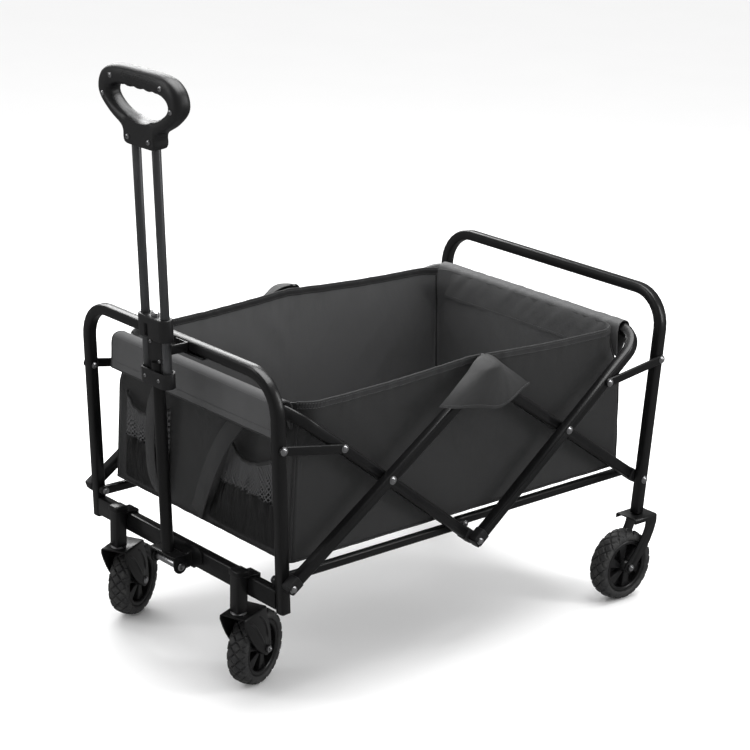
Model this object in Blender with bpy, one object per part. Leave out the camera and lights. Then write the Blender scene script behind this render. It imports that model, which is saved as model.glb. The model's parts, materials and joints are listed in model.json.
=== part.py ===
"""Folding utility wagon with a fabric basket and a telescopic pull handle.

Run with:  blender --background --python part.py

Metres, +Z up, +X towards the rear. The handle and the swivel casters are at the front (-X).
"left" is the wagon's left side, which is -Y. The ground is z = 0, and the finished wagon is
moved along X at the end, so that the middle of its box stands over the origin.

Each empty is one rigid body and stands on the axis that the body turns about:
front_frame carries everything, and the scissor bodies hang on it in a chain.
"""
import math

import bmesh
import bpy
from mathutils import Matrix, Vector

# ---- overall layout -------------------------------------------------------------------------
WHEEL_RADIUS = 0.0625
WHEEL_TOP = 2 * WHEEL_RADIUS    # the forks, the frame and the basket stand over this level
PIVOT_HEIGHT = WHEEL_TOP + 0.087    # height of the lowest scissor pivots on the legs
HALF_BASE = 0.3865          # from the middle of the wagon to the leg pivots, along X
TRACK = 0.500               # between the middles of the two front legs
CROSS_RISE = 0.1323         # from a leg pivot up to where two scissor bars cross
LOWER_DROP = 0.0171         # how far the lower middle pivot hangs below the leg pivots
FOLDED_SPAN = 0.250         # between the leg pivots when the wagon is folded
FRONT_TOP = WHEEL_TOP + 0.4164      # height of the front frame's top bar
REAR_TOP = WHEEL_TOP + 0.413        # height of the rear frame's top bar
FRONT_LEAN = math.radians(2.9)
REAR_LEAN = math.radians(4.8)

# ---- tubes ----------------------------------------------------------------------------------
TUBE = 0.018                # side of the square frame tube
TUBE_CORNER = 0.0035        # radius on its long edges
FRAME_BEND = 0.060          # bend radius of the two U frames
RAIL_BEND = 0.045           # bend radius of the two basket rails
LAYER_GAP = 0.0005          # between bars that pass side by side
GAP = 0.0003                # between pieces that touch
FRONT_FOOT = WHEEL_TOP + 0.038      # height of the front legs' lower ends
CROSSBAR_DEPTH = 0.018
CROSSBAR_HEIGHT = 0.032
CROSSBAR_LOW = WHEEL_TOP + 0.0415   # underside of the crossbar
RAIL_SETBACK = 0.0225       # how far the basket rails stand inside the leg pivots, along X
LINK_REACH = 0.109          # from a bar crossing to the link's pivot, along the rail
LINK_WIDTH = 0.015
LINK_THICK = 0.004
BASE_BAR_HEIGHT = 0.015
BASE_BAR_THICK = 0.012
EDGE_BEVEL = 0.0025

# ---- pins -----------------------------------------------------------------------------------
PIN_RADIUS = 0.003
PIN_HEAD_RADIUS = 0.0055
PIN_HEAD_THICK = 0.0025
PIN_CLEARANCE = 0.0003
OPEN_PIVOT_CLEARANCE = 0.0022   # the lower middle pivot is where the scissor loop is opened

# ---- wheels ---------------------------------------------------------------------------------
TYRE_WIDTH = 0.036
TYRE_SHOULDER = 0.005
RIM_RADIUS = 0.0455         # where the tyre sits on the rim
RIM_WIDTH = 0.031
RIM_WEB = 0.008
HUB_RADIUS = 0.010
AXLE_RADIUS = 0.003
AXLE_HEAD_RADIUS = 0.006
AXLE_HEAD_THICK = 0.003
AXLE_CLEARANCE = 0.0003
HUB_SIDE_GAP = 0.0005       # between the hub and each fork cheek

# ---- forks ----------------------------------------------------------------------------------
FORK_SHEET = 0.0025
TYRE_SIDE_GAP = 0.003       # between the tyre and each fork cheek
FORK_BOSS = 0.011           # radius of a cheek around its axle
CASTER_TOP = WHEEL_TOP + 0.0125     # top of the swivel fork's plate
CASTER_TRAIL = 0.050        # from the swivel axis back to the axle
CASTER_PLATE_FRONT = 0.018  # how far the plate reaches ahead of the swivel axis
CASTER_PLATE_REAR = 0.046
CASTER_YAW = {"left": math.radians(21.5), "right": math.radians(27.5)}
REAR_FORK_TOP = WHEEL_TOP + 0.024
REAR_AXLE_AHEAD = 0.033     # how far the rear axle stands ahead of the rear leg's foot
REAR_PLATE_FRONT = 0.026
REAR_PLATE_REAR = 0.028
FORK_LIP = 0.009            # depth of the plate's folded edge

# ---- caster posts ---------------------------------------------------------------------------
POST_TRACK = TRACK - 0.170       # between the middles of the two posts
POST_SIDE = 0.0215
POST_CORNER = 0.003
POST_LIFT = 0.0035          # height of the swivel bearing under the post
BEARING_RADIUS = 0.0095
POST_TOP = WHEEL_TOP + 0.0865
POST_CAP_HEIGHT = 0.009
POST_CAP_EXTRA = 0.0015     # how far the cap stands out from the post
SADDLE_SHEET = 0.003
SADDLE_WIDTH = 0.026

# ---- pull handle, in its own frame: origin on the hinge, +Z along the tube -------------------
HANDLE_HINGE_HEIGHT = WHEEL_TOP + 0.049
HANDLE_HINGE_AHEAD = 0.0272     # hinge axis ahead of the crossbar's front face
HANDLE_LEAN = math.radians(3.2)
HANDLE_TUBE_RADIUS = 0.010
YOKE_HALF_WIDTH = 0.034
YOKE_SHEET = 0.003
YOKE_RADIUS = 0.012
YOKE_TOP = 0.018
EAR_SHEET = 0.003
HINGE_BOLT_RADIUS = 0.004
HINGE_SLEEVE_RADIUS = 0.0065
ROD_RADIUS = 0.0072
ROD_SPACING = 0.052
ROD_CLEARANCE = 0.0005
LOWER_COLLAR_LOW = 0.301
LOWER_COLLAR_HEIGHT = 0.025
UPPER_COLLAR_LOW = 0.377
UPPER_COLLAR_HEIGHT = 0.036
COLLAR_WALL = 0.0025
COLLAR_HALF_DEPTH = 0.0115
PLATE_LOW = 0.338
PLATE_THICK = 0.008
SLOT_WIDTH = 0.010
SLOT_HEIGHT = 0.020
BUTTON_RADIUS = 0.0060
BUTTON_STAND = 0.006
BUTTON_TRAVEL = 0.003
GRIP_LOW = 0.679            # lower end of the grip's neck
GRIP_HEIGHT = 0.118
GRIP_HALF_WIDTH = 0.104
GRIP_THICK = 0.030          # depth of both shells together
GRIP_BAR = 0.028            # how wide the ring is seen from the front
NECK_HALF_WIDTH = 0.039
ROD_SOCKET = 0.025

# ---- basket ---------------------------------------------------------------------------------
BASKET_BOTTOM = WHEEL_TOP + 0.107
BASKET_SIDE_GAP = 0.0045    # between the basket and the inner faces of the legs
BASKET_HALF_WIDTH = TRACK / 2 - TUBE / 2 - BASKET_SIDE_GAP
BASKET_WALL = 0.004
BASKET_FLOOR = 0.008
BASKET_RIM = PIVOT_HEIGHT + 2 * CROSS_RISE + 0.0074     # top of the walls at the corners
BASKET_PEAK = BASKET_RIM + 0.013     # top of the side walls at the middle
BASKET_CORNER = 0.055       # corner radius in plan
BASKET_SPREAD = 0.010       # how much further out the walls stand at the floor than at the rim
FLAP_SHEET = 0.0025
FLAP_DROP = 0.083           # height of the front flap
FLAP_HALF_WIDTH = BASKET_HALF_WIDTH - 0.0365
POCKET_LOW = WHEEL_TOP + 0.127
POCKET_TOP = WHEEL_TOP + 0.270
POCKET_BULGE = 0.015
POCKET_INNER = 0.030        # from the middle to a pocket's inner side
POCKET_OUTER = BASKET_HALF_WIDTH - 0.0315
SIDE_FLAP_HALF_WIDTH = 0.085
SIDE_FLAP_DROP = 0.100

# ---- places that follow from the sizes --------------------------------------------------------
SIDES = {"left": -1, "right": 1}
HALF_TUBE = TUBE / 2
INNER_PLANE = TRACK / 2                                 # front legs, front rail, rear bars
OUTER_PLANE = INNER_PLANE + TUBE + LAYER_GAP            # rear legs, rear rail, front bars
LINK_PLANE = INNER_PLANE + HALF_TUBE + LAYER_GAP + LINK_THICK / 2
REAR_LINK_PLANE = OUTER_PLANE + HALF_TUBE + LAYER_GAP + LINK_THICK / 2
FORK_HALF_WIDTH = TYRE_WIDTH / 2 + TYRE_SIDE_GAP + FORK_SHEET
HALF_BAR = math.hypot(HALF_BASE / 2, CROSS_RISE)        # half the length of a long scissor bar
BAR_ANGLE = math.atan2(CROSS_RISE, HALF_BASE / 2)
LOWER_BAR = math.hypot(HALF_BASE / 2, CROSS_RISE + LOWER_DROP)
RAIL_ANGLE = math.atan2(CROSS_RISE + LOWER_DROP, HALF_BASE / 2)
FOLDED_BAR_ANGLE = math.acos(FOLDED_SPAN / 4 / HALF_BAR)
FOLDED_RAIL_ANGLE = math.acos(HALF_BAR * math.cos(FOLDED_BAR_ANGLE) / LOWER_BAR)
CROSSBAR_TOP = CROSSBAR_LOW + CROSSBAR_HEIGHT
TOP_PIVOT = Vector((0, 0, PIVOT_HEIGHT + 2 * CROSS_RISE))
LOWER_PIVOT = Vector((0, 0, PIVOT_HEIGHT - LOWER_DROP))

MATERIALS = {
    "frame_black": ((0.018, 0.018, 0.020), 0.42, 0.30),
    "gunmetal": ((0.085, 0.088, 0.095), 0.38, 0.55),
    "bolt_silver": ((0.62, 0.62, 0.64), 0.28, 1.00),
    "plastic_black": ((0.020, 0.020, 0.022), 0.48, 0.00),
    "rim_plastic": ((0.028, 0.028, 0.030), 0.45, 0.00),
    "tyre_rubber": ((0.050, 0.050, 0.053), 0.75, 0.00),
    "basket_fabric": ((0.026, 0.027, 0.030), 0.80, 0.00),
    "flap_fabric": ((0.055, 0.056, 0.060), 0.80, 0.00),
    "pocket_mesh": ((0.012, 0.012, 0.013), 0.85, 0.00),
}
bodies = {}                 # body name -> (its empty, its place in the world)


def clear_scene():
    for old in list(bpy.data.objects):
        bpy.data.objects.remove(old)


def make_material(name):
    colour, roughness, metallic = MATERIALS[name]
    made = bpy.data.materials.new(name)
    made.use_nodes = True
    shader = made.node_tree.nodes["Principled BSDF"]
    shader.inputs["Base Color"].default_value = (*colour, 1)
    shader.inputs["Roughness"].default_value = roughness
    shader.inputs["Metallic"].default_value = metallic
    return made


def add_body(name, at, parent=None, turn=(0, 0, 0)):
    """An empty on the body's joint axis. at is in world coordinates."""
    empty = bpy.data.objects.new(name + "_body", None)
    empty.empty_display_size = 0.03
    bpy.context.scene.collection.objects.link(empty)
    world = Matrix.Translation(at)
    for axis, angle in zip("XYZ", turn):
        world = world @ Matrix.Rotation(angle, 4, axis)
    local = world
    if parent:
        empty.parent = bodies[parent][0]
        local = bodies[parent][1].inverted() @ world
    empty.location = local.to_translation()
    empty.rotation_euler = local.to_euler()
    bodies[name] = (empty, world)


def add_solid(name, shape, body, material, local=False, smooth=35):
    """Turns a bmesh, in world or body coordinates, into an object on its body."""
    if not local:
        shape.transform(bodies[body][1].inverted())
    bmesh.ops.recalc_face_normals(shape, faces=shape.faces[:])
    mesh = bpy.data.meshes.new(name)
    shape.to_mesh(mesh)
    shape.free()
    mesh.materials.append(bpy.data.materials[material])
    mesh.shade_smooth()
    mesh.set_sharp_from_angle(angle=math.radians(smooth))
    made = bpy.data.objects.new(name, mesh)
    made.parent = bodies[body][0]
    bpy.context.scene.collection.objects.link(made)
    return made


def add_tool(target, shape, body, operation="DIFFERENCE", local=False):
    """A hidden shape that cuts, joins or bounds the target."""
    tool = add_solid(target.name + "_tool", shape, body, "frame_black", local)
    tool.hide_render = True
    tool.display_type = "WIRE"
    boolean = target.modifiers.new(operation.title(), "BOOLEAN")
    boolean.operation = operation
    boolean.object = tool


# ---- outlines: lists of (u, v) ----------------------------------------------------------------
def arc(centre, radius, start, end, steps):
    """Points from one angle to another, in degrees."""
    angles = [math.radians(start + (end - start) * i / steps) for i in range(steps + 1)]
    return [(centre[0] + radius * math.cos(a), centre[1] + radius * math.sin(a)) for a in angles]


def curve(first, pull, last, steps):
    """A quadratic curve from first to last, bent towards pull."""
    points = []
    for i in range(steps + 1):
        t = i / steps
        weights = (1 - t) ** 2, 2 * t * (1 - t), t * t
        points.append(tuple(weights[0] * a + weights[1] * b + weights[2] * c
                            for a, b, c in zip(first, pull, last)))
    return points


def rounded_box(half_u, half_v, radius, steps=2, centre=(0, 0)):
    points = []
    for side_u, side_v, start in ((1, 1, 0), (-1, 1, 90), (-1, -1, 180), (1, -1, 270)):
        corner = (centre[0] + side_u * (half_u - radius), centre[1] + side_v * (half_v - radius))
        points += arc(corner, radius, start, start + 90, steps)
    return points


def capsule(first, last, radius, steps=8):
    """The outline of a bar with round ends about its two pivots."""
    along = math.degrees(math.atan2(last[1] - first[1], last[0] - first[0]))
    return (arc(last, radius, along - 90, along + 90, steps)
            + arc(first, radius, along + 90, along + 270, steps))


# ---- solids -----------------------------------------------------------------------------------
def loft(rings):
    """A closed body through rings of equally many points."""
    shape = bmesh.new()
    made = [[shape.verts.new(point) for point in ring] for ring in rings]
    for low, high in zip(made, made[1:]):
        for i, _ in enumerate(low):
            shape.faces.new((low[i - 1], low[i], high[i], high[i - 1]))
    shape.faces.new(made[0])
    shape.faces.new(made[-1])
    return shape


def along_axis(axis, u, v, w):
    """(u, v) lie in the outline's plane and w along the axis."""
    return {"X": (w, u, v), "Y": (u, w, v), "Z": (u, v, w)}[axis]


def prism(outline, axis, low, high, bevel=0.0):
    """An outline extruded along an axis, with its end edges bevelled if asked."""
    levels = [(low, 0), (high, 0)]
    if bevel:
        levels = [(low, bevel), (low + bevel, 0), (high - bevel, 0), (high, bevel)]
    rings = [[along_axis(axis, u, v, level) for u, v in shrunk(outline, inset)]
             for level, inset in levels]
    return loft(rings)


def shrunk(outline, inset):
    """The outline moved inwards by inset, by offsetting each point along its two edges."""
    if not inset:
        return outline
    count = len(outline)
    area = sum(outline[i - 1][0] * outline[i][1] - outline[i][0] * outline[i - 1][1]
               for i in range(count))
    side = 1 if area > 0 else -1
    points = []
    for i in range(count):
        before = Vector(outline[i]) - Vector(outline[i - 1])
        after = Vector(outline[(i + 1) % count]) - Vector(outline[i])
        inward = Vector((-before.y, before.x)).normalized() + Vector((-after.y, after.x)).normalized()
        inward *= side * inset / max(inward.length_squared / 2, 0.5)
        points.append((outline[i][0] + inward.x, outline[i][1] + inward.y))
    return points


def turned(profile, steps, centre=(0, 0, 0), axis="Y", closed=True):
    """A profile of (radius, along) turned about an axis. An open profile is capped at its ends."""
    rings = []
    for radius, level in profile:
        circle = arc((0, 0), radius, 0, 360, steps)[:-1]
        rings.append([Vector(along_axis(axis, u, v, level)) + Vector(centre) for u, v in circle])
    if not closed:
        return loft(rings)
    shape = bmesh.new()
    made = [[shape.verts.new(point) for point in ring] for ring in rings]
    for low, high in zip(made, made[1:] + made[:1]):
        for i in range(steps):
            shape.faces.new((low[i - 1], low[i], high[i], high[i - 1]))
    return shape


def rod(first, last, radius, steps=16):
    """A plain round bar between two points."""
    first, last = Vector(first), Vector(last)
    turn = Vector((0, 0, 1)).rotation_difference(last - first).to_matrix()
    circle = [turn @ Vector((u, v, 0)) for u, v in arc((0, 0), radius, 0, 360, steps)[:-1]]
    return loft([[first + p for p in circle], [last + p for p in circle]])


def block(low, high):
    outline = [(low[0], low[1]), (high[0], low[1]), (high[0], high[1]), (low[0], high[1])]
    return prism(outline, "Z", low[2], high[2])


def rounded_path(corners, radius, steps=8):
    """The corners joined by straight runs, with an arc at each inner corner."""
    path = [corners[0]]
    for before, corner, after in zip(corners, corners[1:], corners[2:]):
        come = (corner - before).normalized()
        leave = (after - corner).normalized()
        bend = come.angle(leave)
        tangent = radius * math.tan(bend / 2)
        axis = come.cross(leave).normalized()
        centre = corner - come * tangent + axis.cross(come) * radius
        start = corner - come * tangent - centre
        for i in range(steps + 1):
            path.append(centre + Matrix.Rotation(bend * i / steps, 3, axis) @ start)
    return path + [corners[-1]]


def sweep(path, outline, across):
    """An outline of (in plane, across) carried along a flat path."""
    rings = []
    for i, point in enumerate(path):
        before = (point - path[i - 1]).normalized() if i else (path[1] - point).normalized()
        after = (path[i + 1] - point).normalized() if i + 1 < len(path) else before
        tangent = (before + after).normalized()
        widen = 1 / math.cos(before.angle(after, 0) / 2)
        side = across.cross(tangent).normalized()
        rings.append([point + side * u * widen + across * v for u, v in outline])
    return loft(rings)


def bore(target, body, at, radius, half_length, axis="Y", local=False):
    offset = Vector(along_axis(axis, 0, 0, half_length))
    add_tool(target, rod(Vector(at) - offset, Vector(at) + offset, radius), body, local=local)


# ---- frame geometry ---------------------------------------------------------------------------
def front_leg_x(height):
    return -HALF_BASE - math.tan(FRONT_LEAN) * (height - PIVOT_HEIGHT)


def rear_leg_x(height):
    return HALF_BASE + math.tan(REAR_LEAN) * (height - PIVOT_HEIGHT)


def crossing(side_x):
    """Where a long bar and a rail cross: side_x is -1 at the front and 1 at the rear."""
    return Vector((side_x * HALF_BASE / 2, 0, PIVOT_HEIGHT + CROSS_RISE))


def leg_pivot(side_x):
    return Vector((side_x * HALF_BASE, 0, PIVOT_HEIGHT))


def rail_direction(side_x):
    """Unit vector up a rail, from the lower middle pivot to its cross bar."""
    return (crossing(side_x) - LOWER_PIVOT).normalized()


def rail_corner(side_x):
    direction = rail_direction(side_x)
    return LOWER_PIVOT + direction * ((HALF_BASE - RAIL_SETBACK) / abs(direction.x))


def link_pivots(side_x):
    """(pivot on the leg, pivot on the rail), with the leg pivot equally far from the rail pivot
    when the wagon is open and when it is folded."""
    opened = crossing(side_x) + rail_direction(side_x) * LINK_REACH
    foot = leg_pivot(side_x)
    folded_crossing = foot + HALF_BAR * Vector((-side_x * math.cos(FOLDED_BAR_ANGLE), 0,
                                                math.sin(FOLDED_BAR_ANGLE)))
    folded = folded_crossing + LINK_REACH * Vector((side_x * math.cos(FOLDED_RAIL_ANGLE), 0,
                                                    math.sin(FOLDED_RAIL_ANGLE)))
    lean = FRONT_LEAN if side_x < 0 else REAR_LEAN
    leg = Vector((side_x * math.sin(lean), 0, math.cos(lean)))
    middle, chord = (opened + folded) / 2, folded - opened
    return foot + leg * ((middle - foot).dot(chord) / leg.dot(chord)), opened


def at_side(point, plane, side):
    return Vector((point.x, side * plane, point.z))


def bar(name, first, last, radius, thickness, plane, body, material="frame_black"):
    """A straight bar in the XZ plane with round ends about its pivots, at distance plane from
    the middle, one on each side."""
    pair = []
    for label, side in SIDES.items():
        outline = capsule((first.x, first.z), (last.x, last.z), radius)
        middle = side * plane
        low, high = middle - thickness / 2, middle + thickness / 2
        bevel = min(EDGE_BEVEL, thickness / 4)
        pair.append(add_solid(f"{name}_{label}", prism(outline, "Y", low, high, bevel), body, material))
    return pair


# ---- front frame ------------------------------------------------------------------------------
def u_frame(name, leg_x, foot, top, plane, body):
    corners = [Vector((leg_x(foot), -plane, foot)), Vector((leg_x(top), -plane, top)),
               Vector((leg_x(top), plane, top)), Vector((leg_x(foot), plane, foot))]
    up = (corners[1] - corners[0]).normalized()
    across = up.cross(Vector((0, 1, 0)))
    tube = sweep(rounded_path(corners, FRAME_BEND), rounded_box(HALF_TUBE, HALF_TUBE, TUBE_CORNER),
                 across)
    return add_solid(name, tube, body, "frame_black")


def front_crossbar():
    half = INNER_PLANE - HALF_TUBE - GAP
    outline = rounded_box(CROSSBAR_DEPTH / 2, CROSSBAR_HEIGHT / 2, TUBE_CORNER,
                          centre=(front_crossbar_x(), CROSSBAR_LOW + CROSSBAR_HEIGHT / 2))
    add_solid("front_crossbar", prism(outline, "Y", -half, half), "front_frame", "frame_black")


def front_crossbar_x():
    return front_leg_x(CROSSBAR_LOW + CROSSBAR_HEIGHT / 2)


def crossbar_front():
    return front_crossbar_x() - CROSSBAR_DEPTH / 2


def post_x():
    return crossbar_front() - GAP - POST_SIDE / 2


def caster_posts():
    """Square posts in front of the crossbar, each hooked over it by a bent saddle."""
    rear = post_x() + POST_SIDE / 2
    back = crossbar_front() + CROSSBAR_DEPTH + GAP
    low, top = CROSSBAR_TOP + GAP, CROSSBAR_TOP + GAP + SADDLE_SHEET
    foot = CROSSBAR_LOW + CROSSBAR_HEIGHT / 3
    saddle = [(rear - SADDLE_SHEET, low), (back, low), (back, foot), (back + SADDLE_SHEET, foot),
              (back + SADDLE_SHEET, top), (rear - SADDLE_SHEET, top)]
    cap = POST_SIDE / 2 + POST_CAP_EXTRA
    chamfer = POST_CAP_EXTRA
    levels = [(CASTER_TOP + POST_LIFT, POST_SIDE / 2), (POST_TOP - POST_CAP_HEIGHT, POST_SIDE / 2),
              (POST_TOP - POST_CAP_HEIGHT, cap), (POST_TOP - chamfer, cap),
              (POST_TOP, cap - chamfer)]
    for label, side in SIDES.items():
        centre = (post_x(), side * POST_TRACK / 2)
        rings = [[(u, v, level) for u, v in rounded_box(half, half, POST_CORNER, centre=centre)]
                 for level, half in levels]
        post = add_solid(f"caster_post_{label}", loft(rings), "front_frame", "frame_black")
        hook = prism(saddle, "Y", centre[1] - SADDLE_WIDTH / 2, centre[1] + SADDLE_WIDTH / 2)
        add_tool(post, hook, "front_frame", "UNION")
        bearing = rod((*centre, CASTER_TOP + GAP), (*centre, CASTER_TOP + 2 * POST_LIFT), BEARING_RADIUS)
        add_tool(post, bearing, "front_frame", "UNION")


def hinge_point():
    return Vector((crossbar_front() - HANDLE_HINGE_AHEAD, 0, HANDLE_HINGE_HEIGHT))


def handle_bracket():
    """Base plate on the crossbar's front, with two ears that the handle's yoke straddles."""
    face = crossbar_front() - GAP
    top, low = CROSSBAR_TOP + 0.0045, CROSSBAR_LOW
    wing, narrow = 0.056, 0.036
    plate = [(-narrow, low), (narrow, low), (wing, low + 0.012), (wing, top - 0.006),
             (wing - 0.006, top), (-wing + 0.006, top), (-wing, top - 0.006), (-wing, low + 0.012)]
    bracket = add_solid("handle_bracket", prism(plate, "X", face - EAR_SHEET, face),
                        "front_frame", "frame_black")
    hinge = hinge_point()
    outer = YOKE_HALF_WIDTH - YOKE_SHEET - LAYER_GAP
    root = face - EAR_SHEET / 2
    ear = (arc((hinge.x, hinge.z), YOKE_RADIUS - 0.002, 100, 260, 8)
           + [(root, low + 0.002), (root, top - 0.008)])
    for side in SIDES.values():
        near, far = sorted((side * outer, side * (outer - EAR_SHEET)))
        add_tool(bracket, prism(ear, "Y", near, far), "front_frame", "UNION")
    bore(bracket, "front_frame", hinge, HINGE_BOLT_RADIUS + PIN_CLEARANCE, YOKE_HALF_WIDTH)


def handle_pivot_bolt():
    """Bolt through yoke and ears, with a sleeve between the ears and a head at each end."""
    sleeve_end = YOKE_HALF_WIDTH - YOKE_SHEET - LAYER_GAP - EAR_SHEET - LAYER_GAP
    head = YOKE_HALF_WIDTH + GAP
    half = [(HINGE_SLEEVE_RADIUS, sleeve_end), (HINGE_BOLT_RADIUS, sleeve_end),
            (HINGE_BOLT_RADIUS, head), (HINGE_SLEEVE_RADIUS, head),
            (HINGE_SLEEVE_RADIUS, head + 0.0018), (HINGE_SLEEVE_RADIUS - 0.0015, head + 0.003)]
    profile = [(radius, -level) for radius, level in reversed(half)] + half
    add_solid("handle_pivot_bolt", turned(profile, 20, hinge_point(), closed=False),
              "front_frame", "bolt_silver")


def handle_hook():
    """Bent strip under the front frame's top bar, with a lip beside the parked handle."""
    tilt = math.cos(FRONT_LEAN) + math.sin(FRONT_LEAN)
    reach_of_tube = (HALF_TUBE - TUBE_CORNER) * tilt + TUBE_CORNER + GAP / 2
    bar_x, under = front_leg_x(FRONT_TOP), FRONT_TOP - reach_of_tube
    front = bar_x - reach_of_tube
    sheet, lip_y, reach = 0.0025, -0.0425, 0.031
    base = block((front - sheet, -0.082, under - sheet), (bar_x + HALF_TUBE - 0.002, -0.012, under))
    hook = add_solid("handle_hook", base, "front_frame", "frame_black")
    riser = block((front - sheet, lip_y, under - sheet), (front, -0.012, under + 0.0165))
    lip = block((front - reach, lip_y, under + 0.0015), (front, lip_y + sheet, under + 0.0165))
    add_tool(hook, riser, "front_frame", "UNION")
    add_tool(hook, lip, "front_frame", "UNION")


# ---- wheels -----------------------------------------------------------------------------------
def tyre(name, centre, body):
    half, inner = TYRE_WIDTH / 2, RIM_RADIUS + GAP
    profile = [(inner, -half + TYRE_SHOULDER), (inner + 0.004, -half), (WHEEL_RADIUS - TYRE_SHOULDER, -half),
               (WHEEL_RADIUS, -half + TYRE_SHOULDER), (WHEEL_RADIUS, half - TYRE_SHOULDER),
               (WHEEL_RADIUS - TYRE_SHOULDER, half), (inner + 0.004, half), (inner, half - TYRE_SHOULDER)]
    add_solid(name, turned(profile, 48, centre), body, "tyre_rubber", local=True)


def rim(name, centre, body):
    """Barrel, web and hub in one moulding, with a hole for the axle."""
    half = RIM_WIDTH / 2
    hub = TYRE_WIDTH / 2 + TYRE_SIDE_GAP - HUB_SIDE_GAP
    hole, web, barrel = AXLE_RADIUS + AXLE_CLEARANCE, RIM_WEB / 2, RIM_RADIUS - 0.003
    side = [(RIM_RADIUS, half), (barrel, half), (barrel, web), (HUB_RADIUS, web), (HUB_RADIUS, hub),
            (hole, hub)]
    profile = side + [(radius, -level) for radius, level in reversed(side)]
    add_solid(name, turned(profile, 48, centre), body, "rim_plastic", local=True)


def axle(name, centre, body):
    head = FORK_HALF_WIDTH + GAP
    half = [(AXLE_RADIUS, head), (AXLE_HEAD_RADIUS, head), (AXLE_HEAD_RADIUS, head + AXLE_HEAD_THICK / 2),
            (AXLE_HEAD_RADIUS - 0.002, head + AXLE_HEAD_THICK)]
    profile = [(radius, -level) for radius, level in reversed(half)] + half
    add_solid(name, turned(profile, 16, centre, closed=False), body, "bolt_silver", local=True)


def fork(name, outline, top, axle_at, body):
    """A bent sheet channel, trimmed to the outline of its cheeks."""
    wide, sheet = FORK_HALF_WIDTH, FORK_SHEET
    bend = 0.004
    channel = ([(-wide, 0), (-wide, top - bend)] + curve((-wide, top - bend), (-wide, top), (bend - wide, top), 3)[1:]
               + curve((wide - bend, top), (wide, top), (wide, top - bend), 3)
               + [(wide, 0), (wide - sheet, 0), (wide - sheet, top - sheet), (sheet - wide, top - sheet),
                  (sheet - wide, 0)])
    low = min(u for u, v in outline) - 0.01
    high = max(u for u, v in outline) + 0.01
    made = add_solid(name, prism(channel, "X", low, high), body, "frame_black", local=True)
    add_tool(made, prism(outline, "Y", -wide - 0.01, wide + 0.01), body, "INTERSECT", local=True)
    bore(made, body, (axle_at[0], 0, axle_at[1]), AXLE_RADIUS + AXLE_CLEARANCE, wide + 0.01, local=True)


def caster_fork_outline():
    boss = (CASTER_TRAIL, WHEEL_RADIUS)
    front, rear, over = -CASTER_PLATE_FRONT, CASTER_PLATE_REAR, CASTER_TOP + 0.001
    return ([(front, over), (front, CASTER_TOP - FORK_LIP)]
            + curve((front, CASTER_TOP - FORK_LIP), (CASTER_TRAIL * 0.1, WHEEL_RADIUS + 0.015),
                    (boss[0] - FORK_BOSS * 0.87, boss[1] - FORK_BOSS * 0.5), 6)[1:]
            + arc(boss, FORK_BOSS, 225, 360, 6)
            + curve((boss[0] + FORK_BOSS, boss[1] + 0.004), (rear + 0.016, CASTER_TOP - 0.045),
                    (rear, CASTER_TOP - 0.012), 5) + [(rear, over)])


def rear_fork_outline():
    boss = (-REAR_AXLE_AHEAD, WHEEL_RADIUS)
    front, rear, over = -REAR_PLATE_FRONT, REAR_PLATE_REAR, REAR_FORK_TOP + 0.001
    return ([(front, over), (front, REAR_FORK_TOP - FORK_LIP), (0.002, REAR_FORK_TOP - FORK_LIP)]
            + curve((0.000, REAR_FORK_TOP - FORK_LIP - 0.012), (-0.010, WHEEL_RADIUS + 0.038),
                    (boss[0] - FORK_BOSS * 0.8, boss[1] + FORK_BOSS * 0.6), 6)
            + arc(boss, FORK_BOSS, 165, 320, 6)
            + curve((boss[0] + FORK_BOSS, boss[1] - 0.003), (0.018, WHEEL_RADIUS + 0.030),
                    (rear, REAR_FORK_TOP - 0.014), 5)[1:] + [(rear, over)])


def casters():
    for label, side in SIDES.items():
        body = f"caster_{label}"
        add_body(body, (post_x(), side * POST_TRACK / 2, 0), "front_frame", (0, 0, CASTER_YAW[label]))
        fork(f"caster_fork_{label}", caster_fork_outline(), CASTER_TOP, (CASTER_TRAIL, WHEEL_RADIUS), body)
        hub = Vector((CASTER_TRAIL, 0, WHEEL_RADIUS))
        axle(f"caster_axle_{label}", hub, body)
        wheel = f"front_wheel_{label}"
        add_body(wheel, bodies[body][1] @ hub, body, (0, 0, CASTER_YAW[label]))
        tyre(f"front_tyre_{label}", (0, 0, 0), wheel)
        rim(f"front_rim_{label}", (0, 0, 0), wheel)


def rear_wheels():
    """The rear forks are fixed under the rear legs, so they belong to the rear frame."""
    foot = rear_leg_x(REAR_FORK_TOP)
    for label, side in SIDES.items():
        at = Vector((foot, side * OUTER_PLANE, 0))
        mount = f"rear_fork_{label}"
        add_body(mount, at, "rear_frame")
        fork(mount, rear_fork_outline(), REAR_FORK_TOP, (-REAR_AXLE_AHEAD, WHEEL_RADIUS), mount)
        hub = Vector((-REAR_AXLE_AHEAD, 0, WHEEL_RADIUS))
        axle(f"rear_axle_{label}", hub, mount)
        wheel = f"rear_wheel_{label}"
        add_body(wheel, at + hub, "rear_frame")
        tyre(f"rear_tyre_{label}", (0, 0, 0), wheel)
        rim(f"rear_rim_{label}", (0, 0, 0), wheel)


# ---- pull handle ------------------------------------------------------------------------------
def collar_outline(half_length, half_depth):
    """A stadium seen from above, longer along Y."""
    reach = half_length - half_depth
    return arc((0, reach), half_depth, 0, 180, 10) + arc((0, -reach), half_depth, 180, 360, 10)


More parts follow.
